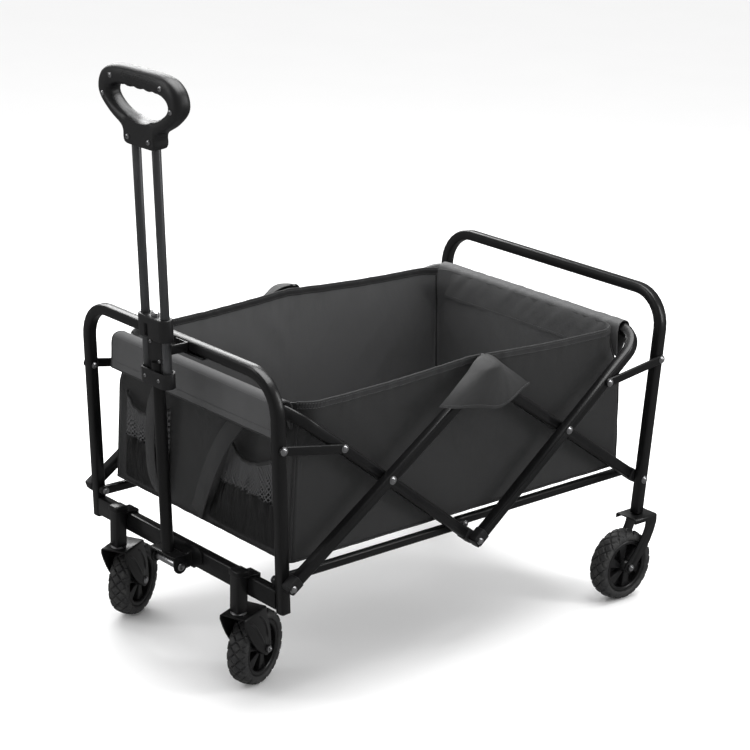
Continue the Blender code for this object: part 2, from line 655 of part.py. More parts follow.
def main_tube():
    """Round tube welded on a yoke that straddles the bracket's ears."""
    cheek = (arc((0, 0), YOKE_RADIUS, 180, 360, 10) + [(YOKE_RADIUS, YOKE_TOP), (-YOKE_RADIUS, YOKE_TOP)])
    yoke = prism(cheek, "Y", -YOKE_HALF_WIDTH, YOKE_HALF_WIDTH)
    made = add_solid("handle_main_tube", yoke, "handle", "frame_black", local=True)
    inner = YOKE_HALF_WIDTH - YOKE_SHEET
    add_tool(made, block((-0.03, -inner, -0.03), (0.03, inner, YOKE_TOP - YOKE_SHEET)), "handle", local=True)
    end = PLATE_LOW - GAP
    add_tool(made, rod((0, 0, YOKE_TOP - YOKE_SHEET / 2), (0, 0, end), HANDLE_TUBE_RADIUS, 24), "handle",
             "UNION", local=True)
    bore(made, "handle", (0, 0, 0), HINGE_BOLT_RADIUS + PIN_CLEARANCE, YOKE_HALF_WIDTH + 0.01, local=True)


def collars():
    half_length = ROD_SPACING / 2 + ROD_RADIUS + ROD_CLEARANCE + COLLAR_WALL
    depth = max(COLLAR_HALF_DEPTH, HANDLE_TUBE_RADIUS + GAP + COLLAR_WALL)
    low, high = LOWER_COLLAR_LOW, LOWER_COLLAR_LOW + LOWER_COLLAR_HEIGHT
    band = add_solid("handle_lower_collar", prism(collar_outline(half_length, depth), "Z", low, high),
                     "handle", "plastic_black", local=True)
    inner = collar_outline(half_length - COLLAR_WALL, depth - COLLAR_WALL)
    add_tool(band, prism(inner, "Z", low - 0.01, high + 0.01), "handle", local=True)

    low, high = UPPER_COLLAR_LOW, UPPER_COLLAR_LOW + UPPER_COLLAR_HEIGHT
    sleeve = add_solid("handle_upper_collar", prism(collar_outline(half_length + 0.001, depth), "Z",
                                                    low, high, 0.001), "handle", "plastic_black", local=True)
    for side in SIDES.values():
        bore(sleeve, "handle", (0, side * ROD_SPACING / 2, (low + high) / 2), ROD_RADIUS + ROD_CLEARANCE,
             UPPER_COLLAR_HEIGHT, "Z", local=True)
    floor = button_floor()
    bore(sleeve, "handle", (0, 0, floor + 0.05), BUTTON_RADIUS + ROD_CLEARANCE, 0.05, "Z", local=True)
    slot_top = high - 0.012
    slot = block((-depth - 0.01, 0.004, slot_top - SLOT_HEIGHT),
                 (-BUTTON_RADIUS - 0.002, 0.004 + SLOT_WIDTH, slot_top))
    add_tool(sleeve, slot, "handle", local=True)

    half_plate = ROD_SPACING / 2 - ROD_RADIUS - ROD_CLEARANCE
    plate = block((-PLATE_THICK / 2, -half_plate, PLATE_LOW), (PLATE_THICK / 2, half_plate, low - GAP))
    add_solid("handle_plate", plate, "handle", "frame_black", local=True)


def button_floor():
    """Bottom of the button's bore in the upper collar."""
    return UPPER_COLLAR_LOW + UPPER_COLLAR_HEIGHT / 3


def release_button():
    base = button_floor() + BUTTON_TRAVEL + 0.001
    top = UPPER_COLLAR_LOW + UPPER_COLLAR_HEIGHT + BUTTON_STAND
    profile = [(BUTTON_RADIUS, base), (BUTTON_RADIUS, top - 0.0015), (BUTTON_RADIUS - 0.002, top)]
    add_solid("release_button", turned(profile, 20, axis="Z", closed=False), "release_button",
              "bolt_silver", local=True)


def grip_outlines(steps=40):
    """(outer, inner) outlines of the D grip in (y, z), with matching points. The outer one
    narrows to the neck and the inner one is the finger opening."""
    top = GRIP_LOW + GRIP_HEIGHT
    wide, neck, bar_width = GRIP_HALF_WIDTH, NECK_HALF_WIDTH, GRIP_BAR
    shoulder = GRIP_LOW + GRIP_HEIGHT * 0.22
    half = ([(0, top)] + curve((0.045, top), (wide, top + 0.002), (wide, top - 0.044), 8)
            + curve((wide, top - 0.044), (wide - 0.002, top - 0.068), (0.058, shoulder + 0.012), 6)[1:]
            + curve((0.058, shoulder + 0.012), (neck, shoulder), (neck, GRIP_LOW + 0.010), 3)[1:]
            + [(neck, GRIP_LOW), (0, GRIP_LOW)])
    inner_top, inner_wide = top - bar_width, wide - bar_width
    inner_low = shoulder + 0.014
    inside = ([(0, inner_top)] + curve((0.030, inner_top), (inner_wide, inner_top + 0.002),
                                       (inner_wide, inner_top - 0.022), 8)
              + curve((inner_wide, inner_top - 0.022), (inner_wide - 0.006, inner_low + 0.012),
                      (0.022, inner_low), 10)[1:] + [(0, inner_low)])
    mirrored = [[(-u, v) for u, v in reversed(line[1:-1])] for line in (half, inside)]
    return half + mirrored[0], inside + mirrored[1]


def grip_shells():
    """Two moulded halves that meet in the plane of the rods."""
    outer, inner = grip_outlines()
    depth, rounding = GRIP_THICK / 2, 0.009
    levels = [(0.0, 0.0), (0.35, 0.04), (0.70, 0.28), (0.92, 0.62), (1.0, 1.0)]
    for name, side in (("grip_front_shell", -1), ("grip_rear_shell", 1)):
        loops = [(outer, share * depth, inset * rounding) for share, inset in levels]
        loops += [(inner, share * depth, -inset * rounding) for share, inset in reversed(levels)]
        shape = bmesh.new()
        made = []
        for outline, out, inset in loops:
            x = side * (GAP / 2 + out)
            made.append([shape.verts.new((x, u, v)) for u, v in shrunk(outline, inset)])
        for low, high in zip(made, made[1:] + made[:1]):
            for i, _ in enumerate(low):
                shape.faces.new((low[i - 1], low[i], high[i], high[i - 1]))
        shell = add_solid(name, shape, "grip", "plastic_black", local=True)
        for across in SIDES.values():
            bore(shell, "grip", (0, across * ROD_SPACING / 2, GRIP_LOW), ROD_RADIUS + GAP, ROD_SOCKET, "Z",
                 local=True)


def handle():
    hinge = hinge_point()
    lean = (0, -HANDLE_LEAN, 0)
    add_body("handle", hinge, "front_frame", lean)
    add_body("grip", hinge, "handle", lean)
    add_body("release_button", hinge, "handle", lean)
    main_tube()
    collars()
    release_button()
    low, high = LOWER_COLLAR_LOW + GAP, GRIP_LOW + ROD_SOCKET - GAP
    for label, side in SIDES.items():
        y = side * ROD_SPACING / 2
        add_solid(f"handle_rod_{label}", rod((0, y, low), (0, y, high), ROD_RADIUS, 20), "grip", "gunmetal",
                  local=True)
    grip_shells()


# ---- scissor frame ----------------------------------------------------------------------------
def rail(name, side_x, plane, body):
    """A U tube: two long arms from the lower middle pivots, and a cross bar in the basket's hem."""
    start = LOWER_PIVOT - rail_direction(side_x) * HALF_TUBE
    corner = rail_corner(side_x)
    corners = [at_side(start, plane, -1), at_side(corner, plane, -1), at_side(corner, plane, 1),
               at_side(start, plane, 1)]
    across = rail_direction(side_x).cross(Vector((0, 1, 0)))
    tube = sweep(rounded_path(corners, RAIL_BEND), rounded_box(HALF_TUBE, HALF_TUBE, TUBE_CORNER), across)
    return add_solid(name, tube, body, "frame_black")


def pin(name, at, body):
    """A rivet through the inner and the outer plane of bars, on one side of the wagon."""
    low = INNER_PLANE - HALF_TUBE - GAP
    high = OUTER_PLANE + HALF_TUBE + GAP
    profile = [(PIN_HEAD_RADIUS - 0.0015, low - PIN_HEAD_THICK), (PIN_HEAD_RADIUS, low - PIN_HEAD_THICK / 2),
               (PIN_HEAD_RADIUS, low), (PIN_RADIUS, low), (PIN_RADIUS, high), (PIN_HEAD_RADIUS, high),
               (PIN_HEAD_RADIUS, high + PIN_HEAD_THICK / 2), (PIN_HEAD_RADIUS - 0.0015, high + PIN_HEAD_THICK)]
    for label, side in SIDES.items():
        sided = [(radius, side * level) for radius, level in profile]
        shape = turned(sided, 14, (at.x, 0, at.z), closed=False)
        add_solid(f"{name}_{label}", shape, body, "bolt_silver")


def drill(made, body, at, clearance):
    """The same hole through whichever side or sides of the wagon the piece is on."""
    bore(made, body, (at.x, 0, at.z), PIN_RADIUS + clearance, OUTER_PLANE + TUBE)


def scissor_half(end, side_x, long_plane, rail_plane, parents):
    """Long bars, rail, links and base bars of one end, each on its own body."""
    bars, rails, links, base = parents
    cross, foot = crossing(side_x), leg_pivot(side_x)
    for made in bar(f"scissor_bar_{end}", foot, TOP_PIVOT, HALF_TUBE, TUBE, long_plane, bars):
        drill(made, bars, cross, PIN_CLEARANCE)
    pin(f"scissor_pin_{end}", cross, bars)
    tube = rail(f"{end}_rail", side_x, rail_plane, rails)
    drill(tube, rails, cross, PIN_CLEARANCE)
    leg, on_rail = link_pivots(side_x)
    link_plane = LINK_PLANE if side_x < 0 else REAR_LINK_PLANE
    bar(f"{end}_link", leg, on_rail, LINK_WIDTH / 2, LINK_THICK, link_plane, links)
    lap = INNER_PLANE - HALF_TUBE - GAP - BASE_BAR_THICK / 2
    if side_x > 0:
        lap -= BASE_BAR_THICK + LAYER_GAP
    middle = Vector((0, 0, PIVOT_HEIGHT))
    bar(f"base_bar_{end}", foot, middle, BASE_BAR_HEIGHT / 2, BASE_BAR_THICK, lap, base)
    return tube


def scissor_frame():
    add_body("scissor_front", leg_pivot(-1), "front_frame")
    add_body("front_rail", crossing(-1), "scissor_front")
    add_body("scissor_rear", TOP_PIVOT, "scissor_front")
    add_body("rear_rail", crossing(1), "scissor_rear")
    add_body("rear_frame", leg_pivot(1), "scissor_rear")
    add_body("front_links", link_pivots(-1)[0], "front_frame")
    add_body("rear_links", link_pivots(1)[0], "rear_frame")
    add_body("front_base_bars", leg_pivot(-1), "front_frame")
    add_body("rear_base_bars", leg_pivot(1), "rear_frame")
    front = scissor_half("front", -1, OUTER_PLANE, INNER_PLANE,
                         ("scissor_front", "front_rail", "front_links", "front_base_bars"))
    rear = scissor_half("rear", 1, INNER_PLANE, OUTER_PLANE,
                        ("scissor_rear", "rear_rail", "rear_links", "rear_base_bars"))
    pin("lower_pin", LOWER_PIVOT, "front_rail")
    drill(front, "front_rail", LOWER_PIVOT, PIN_CLEARANCE)
    drill(rear, "rear_rail", LOWER_PIVOT, OPEN_PIVOT_CLEARANCE)


# ---- basket -----------------------------------------------------------------------------------
def rail_half_extent():
    """Half the rail's cross bar along X and along Z: a square tube turned by the rail's angle."""
    spread = (HALF_TUBE - TUBE_CORNER) * (math.cos(RAIL_ANGLE) + math.sin(RAIL_ANGLE)) + TUBE_CORNER
    return spread + LAYER_GAP


def wall_reach(height):
    """From the middle to the outer face of the basket's end walls, at this height."""
    end = HALF_BASE - RAIL_SETBACK - rail_half_extent()
    return end + BASKET_SPREAD * (BASKET_RIM - height) / (BASKET_RIM - BASKET_BOTTOM)


def basket_body(reaches, inset, low, high):
    """A box with rounded corners in plan. reaches are its half lengths at low and at high."""
    rings = []
    for reach, level in zip(reaches, (low, high)):
        outline = rounded_box(reach - inset, BASKET_HALF_WIDTH - inset, BASKET_CORNER - inset, 6)
        rings.append([(u, v, level) for u, v in outline])
    return loft(rings)


def basket():
    """An open-topped box between the two rails. Its side walls rise to the middle."""
    above = BASKET_PEAK + 0.02
    narrow = wall_reach(above)
    outside = basket_body((wall_reach(BASKET_BOTTOM), narrow), 0, BASKET_BOTTOM, above)
    shell = add_solid("basket", outside, "front_frame", "basket_fabric")
    hollow = basket_body((narrow, narrow), BASKET_WALL, BASKET_BOTTOM + BASKET_FLOOR, above + 0.01)
    add_tool(shell, hollow, "front_frame")
    end = wall_reach(BASKET_RIM) + 0.01
    hem = [(-end, BASKET_RIM), (0, BASKET_PEAK), (end, BASKET_RIM), (end, above + 0.02), (-end, above + 0.02)]
    add_tool(shell, prism(hem, "Y", -BASKET_HALF_WIDTH - 0.01, BASKET_HALF_WIDTH + 0.01), "front_frame")


def front_flap():
    """Fabric folded over the front rail, hanging in front of it."""
    centre = rail_corner(-1)
    reach = rail_half_extent()
    front, top = centre.x - reach, centre.z + reach
    back = centre.x + reach
    outline = [(front, top + FLAP_SHEET - FLAP_DROP), (front, top), (back, top), (back, top + FLAP_SHEET),
               (front - FLAP_SHEET, top + FLAP_SHEET), (front - FLAP_SHEET, top + FLAP_SHEET - FLAP_DROP)]
    add_solid("front_flap", prism(outline, "Y", -FLAP_HALF_WIDTH, FLAP_HALF_WIDTH), "front_frame",
              "flap_fabric")


def pockets():
    """Mesh pockets on the front wall, fuller towards the bottom."""
    low, top = POCKET_LOW, POCKET_TOP
    gap = 2 * GAP
    outline = [(-wall_reach(low) - gap, low), (-wall_reach(top) - gap, top),
               (-wall_reach(top) - gap - POCKET_BULGE * 0.5, top),
               (-wall_reach(low) - POCKET_BULGE, low + (top - low) * 0.35),
               (-wall_reach(low) - POCKET_BULGE * 0.8, low)]
    for label, side in SIDES.items():
        near, far = sorted((side * POCKET_INNER, side * POCKET_OUTER))
        add_solid(f"pocket_{label}", prism(outline, "Y", near, far), "front_frame", "pocket_mesh")


def side_flaps():
    """Triangular flaps that hang over the two upper scissor pivots."""
    top = BASKET_PEAK
    outline = [(0, top), (-SIDE_FLAP_HALF_WIDTH, top - SIDE_FLAP_DROP),
               (SIDE_FLAP_HALF_WIDTH, top - SIDE_FLAP_DROP)]
    inner = OUTER_PLANE + HALF_TUBE + 3 * LAYER_GAP
    for label, side in SIDES.items():
        near, far = sorted((side * inner, side * (inner + FLAP_SHEET)))
        add_solid(f"side_flap_{label}", prism(outline, "Y", near, far), "front_frame", "basket_fabric")


def centre_on_origin():
    """Moves the finished wagon along X, so that the middle of its box is over the origin."""
    bpy.context.view_layer.update()
    reach = [(piece.matrix_world @ Vector(corner)).x for piece in bpy.data.objects
             if piece.type == "MESH" and not piece.hide_render for corner in piece.bound_box]
    bodies["front_frame"][0].location.x -= (min(reach) + max(reach)) / 2
    bpy.context.view_layer.update()


def build():
    clear_scene()
    for name in MATERIALS:
        make_material(name)
    add_body("front_frame", (0, 0, 0))
    u_frame("front_frame_tube", front_leg_x, FRONT_FOOT, FRONT_TOP, INNER_PLANE, "front_frame")
    front_crossbar()
    caster_posts()
    handle_bracket()
    handle_pivot_bolt()
    handle_hook()
    casters()
    handle()
    scissor_frame()
    rear_foot = REAR_FORK_TOP + GAP + HALF_TUBE * math.sin(REAR_LEAN)
    u_frame("rear_frame_tube", rear_leg_x, rear_foot, REAR_TOP, OUTER_PLANE, "rear_frame")
    rear_wheels()
    basket()
    front_flap()
    pockets()
    side_flaps()
    centre_on_origin()


build()
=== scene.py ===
import json
import math

import bmesh
import bpy
import numpy as np
from mathutils import Matrix, Vector, noise

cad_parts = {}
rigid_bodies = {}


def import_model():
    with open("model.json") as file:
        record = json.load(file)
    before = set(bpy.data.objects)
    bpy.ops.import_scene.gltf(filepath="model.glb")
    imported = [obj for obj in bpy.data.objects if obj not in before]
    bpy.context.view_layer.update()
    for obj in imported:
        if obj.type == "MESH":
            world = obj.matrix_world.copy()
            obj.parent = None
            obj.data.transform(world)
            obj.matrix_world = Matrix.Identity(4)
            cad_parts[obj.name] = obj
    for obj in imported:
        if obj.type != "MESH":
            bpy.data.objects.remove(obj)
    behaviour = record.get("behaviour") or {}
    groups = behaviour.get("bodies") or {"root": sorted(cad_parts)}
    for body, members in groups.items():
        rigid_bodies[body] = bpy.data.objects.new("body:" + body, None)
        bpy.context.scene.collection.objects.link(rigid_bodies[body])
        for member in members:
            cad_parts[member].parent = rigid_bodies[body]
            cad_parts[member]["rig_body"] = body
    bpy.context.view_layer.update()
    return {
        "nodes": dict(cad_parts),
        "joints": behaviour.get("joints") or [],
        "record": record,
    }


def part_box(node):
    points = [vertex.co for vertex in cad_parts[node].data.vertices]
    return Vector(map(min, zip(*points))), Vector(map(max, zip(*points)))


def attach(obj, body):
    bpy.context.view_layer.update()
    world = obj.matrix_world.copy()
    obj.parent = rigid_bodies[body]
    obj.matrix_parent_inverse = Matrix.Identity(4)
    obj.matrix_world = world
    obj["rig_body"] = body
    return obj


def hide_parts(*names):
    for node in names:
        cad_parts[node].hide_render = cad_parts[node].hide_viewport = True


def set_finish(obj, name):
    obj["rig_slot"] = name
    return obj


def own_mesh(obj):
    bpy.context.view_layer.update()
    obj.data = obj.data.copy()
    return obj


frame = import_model()
sides = {"left": -1, "right": 1}
print("frame loaded")


# one socket of a node tree; the operators build Math, Vector Math and Mix nodes
class Socket:
    def __init__(self, tree, out):
        self.tree = tree
        self.out = out

    def node(self, kind, *inputs, output=0, **settings):
        made = self.tree.nodes.new(kind)
        for key, value in settings.items():
            setattr(made, key, value)
        for place, value in enumerate(inputs):
            self.feed(made.inputs[place], value)
        return Socket(self.tree, made.outputs[output])

    def feed(self, target, value):
        if isinstance(value, Socket):
            self.tree.links.new(value.out, target)
        elif value is not None:
            target.default_value = value

    def math(self, operation, *values, clamp=False):
        return self.node("ShaderNodeMath", *values, operation=operation, use_clamp=clamp)

    def __add__(self, other):
        return self.math("ADD", self, other)

    def __sub__(self, other):
        return self.math("SUBTRACT", self, other)

    def __mul__(self, other):
        return self.math("MULTIPLY", self, other)

    def __rsub__(self, other):
        return self.math("SUBTRACT", other, self)

    __radd__ = __add__
    __rmul__ = __mul__

    def between(self, low, high):
        return self.math("DIVIDE", self - low, high - low, clamp=True)

    def mix(self, dark, light):
        made = self.tree.nodes.new("ShaderNodeMix")
        made.data_type = "RGBA"
        self.feed(made.inputs["Factor"], self)
        self.feed(made.inputs["A"], dark if isinstance(dark, Socket) else (*dark, 1))
        self.feed(made.inputs["B"], light if isinstance(light, Socket) else (*light, 1))
        return Socket(self.tree, made.outputs["Result"])

    def split(self):
        made = self.tree.nodes.new("ShaderNodeSeparateXYZ")
        self.tree.links.new(self.out, made.inputs[0])
        return [Socket(self.tree, out) for out in made.outputs]

    def noise(self, scale, detail=4.0, rough=0.5, stretch=(1, 1, 1)):
        scaled = self.node("ShaderNodeVectorMath", self, stretch, operation="MULTIPLY")
        made = self.tree.nodes.new("ShaderNodeTexNoise")
        self.tree.links.new(scaled.out, made.inputs["Vector"])
        made.inputs["Scale"].default_value = scale
        made.inputs["Detail"].default_value = detail
        made.inputs["Roughness"].default_value = rough
        return Socket(self.tree, made.outputs[0])

    def cells(self, scale):
        made = self.tree.nodes.new("ShaderNodeTexVoronoi")
        self.tree.links.new(self.out, made.inputs["Vector"])
        made.inputs["Scale"].default_value = scale
        return Socket(self.tree, made.outputs["Distance"])

    def wave(self, period):
        return self.math("SINE", self * (2 * math.pi / period)) * 0.5 + 0.5


# a Principled material; fixed holds constants, and build fills the varying inputs
def makeMaterial(name, build, fixed):
    made = bpy.data.materials.new(name)
    made.use_nodes = True
    tree = made.node_tree
    shader = tree.nodes["Principled BSDF"]
    for key, value in fixed.items():
        shader.inputs[key].default_value = value
    places = tree.nodes.new("ShaderNodeTexCoord")
    where = Socket(tree, places.outputs["Object"])
    flat = Socket(tree, places.outputs["UV"])
    for key, value in build(where, flat).items():
        if key == "bump":
            height, strength, distance = value
            bump = tree.nodes.new("ShaderNodeBump")
            bump.inputs["Strength"].default_value = strength
            bump.inputs["Distance"].default_value = distance
            tree.links.new(height.out, bump.inputs["Height"])
            tree.links.new(bump.outputs[0], shader.inputs["Normal"])
        else:
            tree.links.new(value.out, shader.inputs[key])
    return made


def worn(where, low, high):
    edge = where.tree.nodes.new("ShaderNodeNewGeometry").outputs["Pointiness"]
    return Socket(where.tree, edge).between(low, high) * where.noise(60, 3).between(0.45, 0.62)


def powderCoat(where, flat):
    grain = where.noise(900, 2)
    patch = where.noise(14, 5)
    rub = worn(where, 0.56, 0.68)
    colour = rub.mix(patch.mix((0.0024, 0.0024, 0.0026), (0.0055, 0.0055, 0.0058)), (0.03, 0.03, 0.031))
    return {"Base Color": colour, "Roughness": 0.24 + patch * 0.14 + grain * 0.06,
            "bump": (grain, 0.10, 0.0006)}


def gunmetal(where, flat):
    streak = where.noise(260, 3, stretch=(1, 1, 0.012))
    scuff = where.noise(30, 6, 0.6, (1, 1, 0.25)).between(0.58, 0.72)
    colour = streak.mix((0.050, 0.051, 0.053), (0.110, 0.112, 0.116))
    return {"Base Color": scuff.mix(colour, (0.12, 0.122, 0.126)),
            "Roughness": 0.27 + streak * 0.14 + scuff * 0.08, "bump": (streak, 0.06, 0.0003)}


def zinc(where, flat):
    patch = where.noise(120, 4)
    return {"Base Color": patch.mix((0.42, 0.42, 0.43), (0.62, 0.62, 0.63)), "Roughness": 0.20 + patch * 0.22,
            "bump": (where.noise(1400, 2), 0.08, 0.0003)}


# a dark metal used only for the screws' cross recesses: painted shade standing in for their hollows
def recessShade(where, flat):
    patch = where.noise(140, 4)
    return {"Base Color": patch.mix((0.05, 0.05, 0.052), (0.13, 0.13, 0.135)),
            "Roughness": 0.28 + patch * 0.2, "bump": (where.noise(1400, 2), 0.08, 0.0003)}


def plastic(where, flat):
    pores = where.cells(1500)
    patch = where.noise(22, 5)
    rub = worn(where, 0.55, 0.70)
    colour = rub.mix(patch.mix((0.0045, 0.0045, 0.005), (0.009, 0.009, 0.0095)), (0.025, 0.025, 0.026))
    return {"Base Color": colour, "Roughness": 0.32 + patch * 0.14, "bump": (pores, 0.16, 0.0004)}


def rimPlastic(where, flat):
    patch = where.noise(40, 5)
    dust = where.noise(9, 6, 0.65).between(0.50, 0.75)
    colour = dust.mix(patch.mix((0.004, 0.004, 0.0042), (0.008, 0.008, 0.0085)), (0.018, 0.0175, 0.017))
    return {"Base Color": colour, "Roughness": 0.30 + patch * 0.12 + dust * 0.16,
            "bump": (where.noise(500, 3), 0.10, 0.0005)}


def rubber(where, flat):
    patch = where.noise(26, 6, 0.6)
    fine = where.noise(700, 3)
    dust = where.noise(60, 5, 0.7).between(0.45, 0.70)
    colour = dust.mix(patch.mix((0.013, 0.013, 0.0135), (0.022, 0.022, 0.023)), (0.036, 0.0355, 0.034))
    return {"Base Color": colour, "Roughness": 0.50 + patch * 0.16, "bump": (fine, 0.24, 0.0006)}


# a plain weave with a slub in the yarns; flat is in metres along and across the cloth
def weave(flat, yarn):
    u, v, _ = flat.split()
    over = u.wave(2 * yarn) * v.wave(yarn)
    under = (1 - u.wave(2 * yarn)) * (1 - v.wave(yarn))
    slub = flat.noise(1.0 / yarn / 6, 2, stretch=(1, 0.15, 1)) * 0.4
    return over + under + slub


def cloth(dark, light, yarn=0.0011, shine=0.0):
    def build(where, flat):
        threads = weave(flat, yarn)
        patch = where.noise(5, 5, 0.55)
        lint = where.noise(420, 4, 0.7).between(0.66, 0.80)
        colour = threads.between(0.1, 1.1).mix([c * 0.72 for c in dark], light)
        colour = patch.between(0.3, 0.7).mix(colour, [(a + b) / 2 for a, b in zip(dark, light)])
        colour = (lint * 0.25).mix(colour, [c * 2.2 for c in light])
        return {"Base Color": colour, "Roughness": 0.66 - shine + patch * 0.16,
                "bump": (threads, 0.34, 0.0006)}
    return build


def webbing(where, flat):
    u, v, _ = flat.split()
    twill = (u + v * 0.5).wave(0.0022) * (0.6 + v.wave(0.0034) * 0.4)
    patch = where.noise(60, 4)
    return {"Base Color": twill.mix((0.006, 0.006, 0.0063), (0.034, 0.034, 0.035)),
            "Roughness": 0.58 + patch * 0.2, "bump": (twill, 0.55, 0.0008)}


def thread(where, flat):
    strand = where.noise(1800, 2)
    return {"Base Color": strand.mix((0.030, 0.030, 0.031), (0.085, 0.085, 0.088)),
            "Roughness": 0.5 + strand * 0.2, "bump": (strand, 0.3, 0.0003)}


# net: round holes in staggered rows, cut out with alpha
def net(where, flat):
    pitch = 0.0058
    u, v, _ = flat.split()
    a = (u + v * 0.58).wave(pitch)
    b = (u - v * 0.58).wave(pitch)
    strand = a.math("MAXIMUM", a, b)
    solid = strand.between(0.70, 0.78)
    return {"Base Color": strand.mix((0.010, 0.010, 0.0105), (0.060, 0.060, 0.062)), "Alpha": solid,
            "Roughness": 0.55 + strand * 0.2, "bump": (strand, 0.5, 0.0006)}


def gripPattern(where, flat):
    dots = where.cells(420)
    patch = where.noise(30, 4)
    raised = 1 - dots.between(0.15, 0.42)
    return {"Base Color": patch.mix((0.0045, 0.0045, 0.005), (0.009, 0.009, 0.0095)),
            "Roughness": 0.42 + raised * 0.12 + patch * 0.1, "bump": (raised, 0.5, 0.0009)}


def paper(where, flat):
    grain = where.noise(3, 4)
    return {"Base Color": grain.mix((0.95, 0.95, 0.95), (0.965, 0.965, 0.965)),
            "Roughness": 0.82 + grain * 0.1}


# what varies over each finish, and the constants of its shader
finishes = {
    "powderCoat": (powderCoat, {"Metallic": 0.0, "Specular IOR Level": 0.34, "Coat Weight": 0.16,
                                "Coat Roughness": 0.12}),
    "gunmetal": (gunmetal, {"Metallic": 0.75}),
    "zinc": (zinc, {"Metallic": 1.0}),
    # painted shade for the screws' cross recesses
    "recessShade": (recessShade, {"Metallic": 1.0}),
    "plastic": (plastic, {}),
    "rimPlastic": (rimPlastic, {}),
    "rubber": (rubber, {}),
    "canvas": (cloth((0.0105, 0.0106, 0.0109), (0.0215, 0.0217, 0.0222), shine=0.20),
               {"Sheen Weight": 0.06, "Sheen Roughness": 0.5, "Specular IOR Level": 0.34}),
    "lining": (cloth((0.050, 0.0502, 0.051), (0.088, 0.0884, 0.090), shine=0.20),
               {"Sheen Weight": 0.10, "Sheen Roughness": 0.45, "Specular IOR Level": 0.4}),
    "flapCloth": (cloth((0.030, 0.0302, 0.031), (0.052, 0.0523, 0.054), yarn=0.0014),
                  {"Sheen Weight": 0.10, "Sheen Roughness": 0.5, "Specular IOR Level": 0.4}),
    "pouchCloth": (cloth((0.0030, 0.0030, 0.0032), (0.0085, 0.0086, 0.0089), shine=0.34),
                   {"Specular IOR Level": 0.45}),
    "webbing": (webbing, {"Sheen Weight": 0.06, "Specular IOR Level": 0.3}),
    "thread": (thread, {}),
    "net": (net, {}),
    "gripPattern": (gripPattern, {}),
    "paper": (paper, {}),
}
looks = {name: makeMaterial(name, build, fixed) for name, (build, fixed) in finishes.items()}
slotLooks = {"frame_black": "powderCoat", "gunmetal": "gunmetal", "bolt_silver": "zinc",
             "plastic_black": "plastic", "rim_plastic": "rimPlastic", "tyre_rubber": "rubber",
             "basket_fabric": "canvas", "flap_fabric": "flapCloth", "pocket_mesh": "net"}
print("materials made")


# ---- mesh tools ----
class Shape:
    def __init__(self):
        self.points = []
        self.faces = []
        self.uvs = []
        self.looks = []

    # rows of points become quads; wrap joins the last column to the first, and caps closes the ends
    def grid(self, rows, wrap=False, caps=False, flat=None, look=0, flip=False):
        start = len(self.points)
        wide = len(rows[0])
        for row in rows:
            self.points += [tuple(p) for p in row]
        columns = wide if wrap else wide - 1
        for i in range(len(rows) - 1):
            for j in range(columns):
                k = (j + 1) % wide
                ids = [(i, j, j), (i, k, j + 1), (i + 1, k, j + 1), (i + 1, j, j)]
                if flip:
                    ids.reverse()
                self.faces.append([start + a * wide + b for a, b, _ in ids])
                self.uvs.append([flat(a, c) if flat else (0.0, 0.0) for a, _, c in ids])
                self.looks.append(look)
        if caps:
            for i, turn in ((0, -1), (len(rows) - 1, 1)):
                ring = [start + i * wide + j for j in range(wide)]
                self.faces.append(ring[::-1] if turn < 0 else ring)
                self.uvs.append([(0.0, 0.0)] * wide)
                self.looks.append(look)
        return self

    def placed(self, matrix):
        self.points = [tuple(matrix @ Vector(p)) for p in self.points]
        return self

    def add(self, other, matrix=None, look=None):
        start = len(self.points)
        self.points += [tuple(matrix @ Vector(p)) for p in other.points] if matrix else other.points
        self.faces += [[start + i for i in face] for face in other.faces]
        self.uvs += other.uvs
        self.looks += [look] * len(other.faces) if look is not None else other.looks
        return self


def circle(radius, steps, start=0.0):
    turns = [start + 2 * math.pi * i / steps for i in range(steps)]
    return [(radius * math.cos(t), radius * math.sin(t)) for t in turns]


# a profile of (radius, height) turned about Z
def lathe(profile, steps=32, closed=False, look=0):
    rows = [[(u, v, h) for u, v in circle(max(r, 1e-6), steps)] for r, h in profile]
    if closed:
        rows.append(rows[0])
    return Shape().grid(rows, wrap=True, caps=not closed, look=look)


def arcPoints(centre, radius, start, end, steps):
    turns = [math.radians(start + (end - start) * i / steps) for i in range(steps + 1)]
    return [(centre[0] + radius * math.cos(t), centre[1] + radius * math.sin(t)) for t in turns]


def roundedBox(halfU, halfV, radius, steps=4):
    made = []
    for u, v, start in ((1, 1, 0), (-1, 1, 90), (-1, -1, 180), (1, -1, 270)):
        made += arcPoints((u * (halfU - radius), v * (halfV - radius)), radius, start, start + 90, steps)
    return made


def inset(outline, by):
    count = len(outline)
    area = sum(outline[i - 1][0] * outline[i][1] - outline[i][0] * outline[i - 1][1] for i in range(count))
    made = []
    for i in range(count):
        a, b, c = (Vector(outline[j % count]) for j in (i - 1, i, i + 1))
        first, second = (b - a), (c - b)
        turn = Vector((-first.y, first.x)).normalized() + Vector((-second.y, second.x)).normalized()
        turn *= math.copysign(by, area) / max(turn.length_squared / 2, 0.5)
        made.append((b.x + turn.x, b.y + turn.y))
    return made


# an outline in (u, v) extruded along w with rounded end edges
def slab(outline, low, high, edge=0.0006, look=0):
    levels = [(low, edge), (low + 0.3 * edge, 0.3 * edge), (low + edge, 0), (high - edge, 0),
              (high - 0.3 * edge, 0.3 * edge), (high, edge)]
    rows = [[(u, v, w) for u, v in inset(outline, by)] for w, by in levels]
    return Shape().grid(rows, wrap=True, caps=True, look=look)


# how far along a line each point is; the points are vectors or plain pairs
def lengthsAlong(line):
    made = [0.0]
    for a, b in zip(line, line[1:]):
        made.append(made[-1] + ((b - a).length if isinstance(a, Vector) else math.dist(a, b)))
    return made


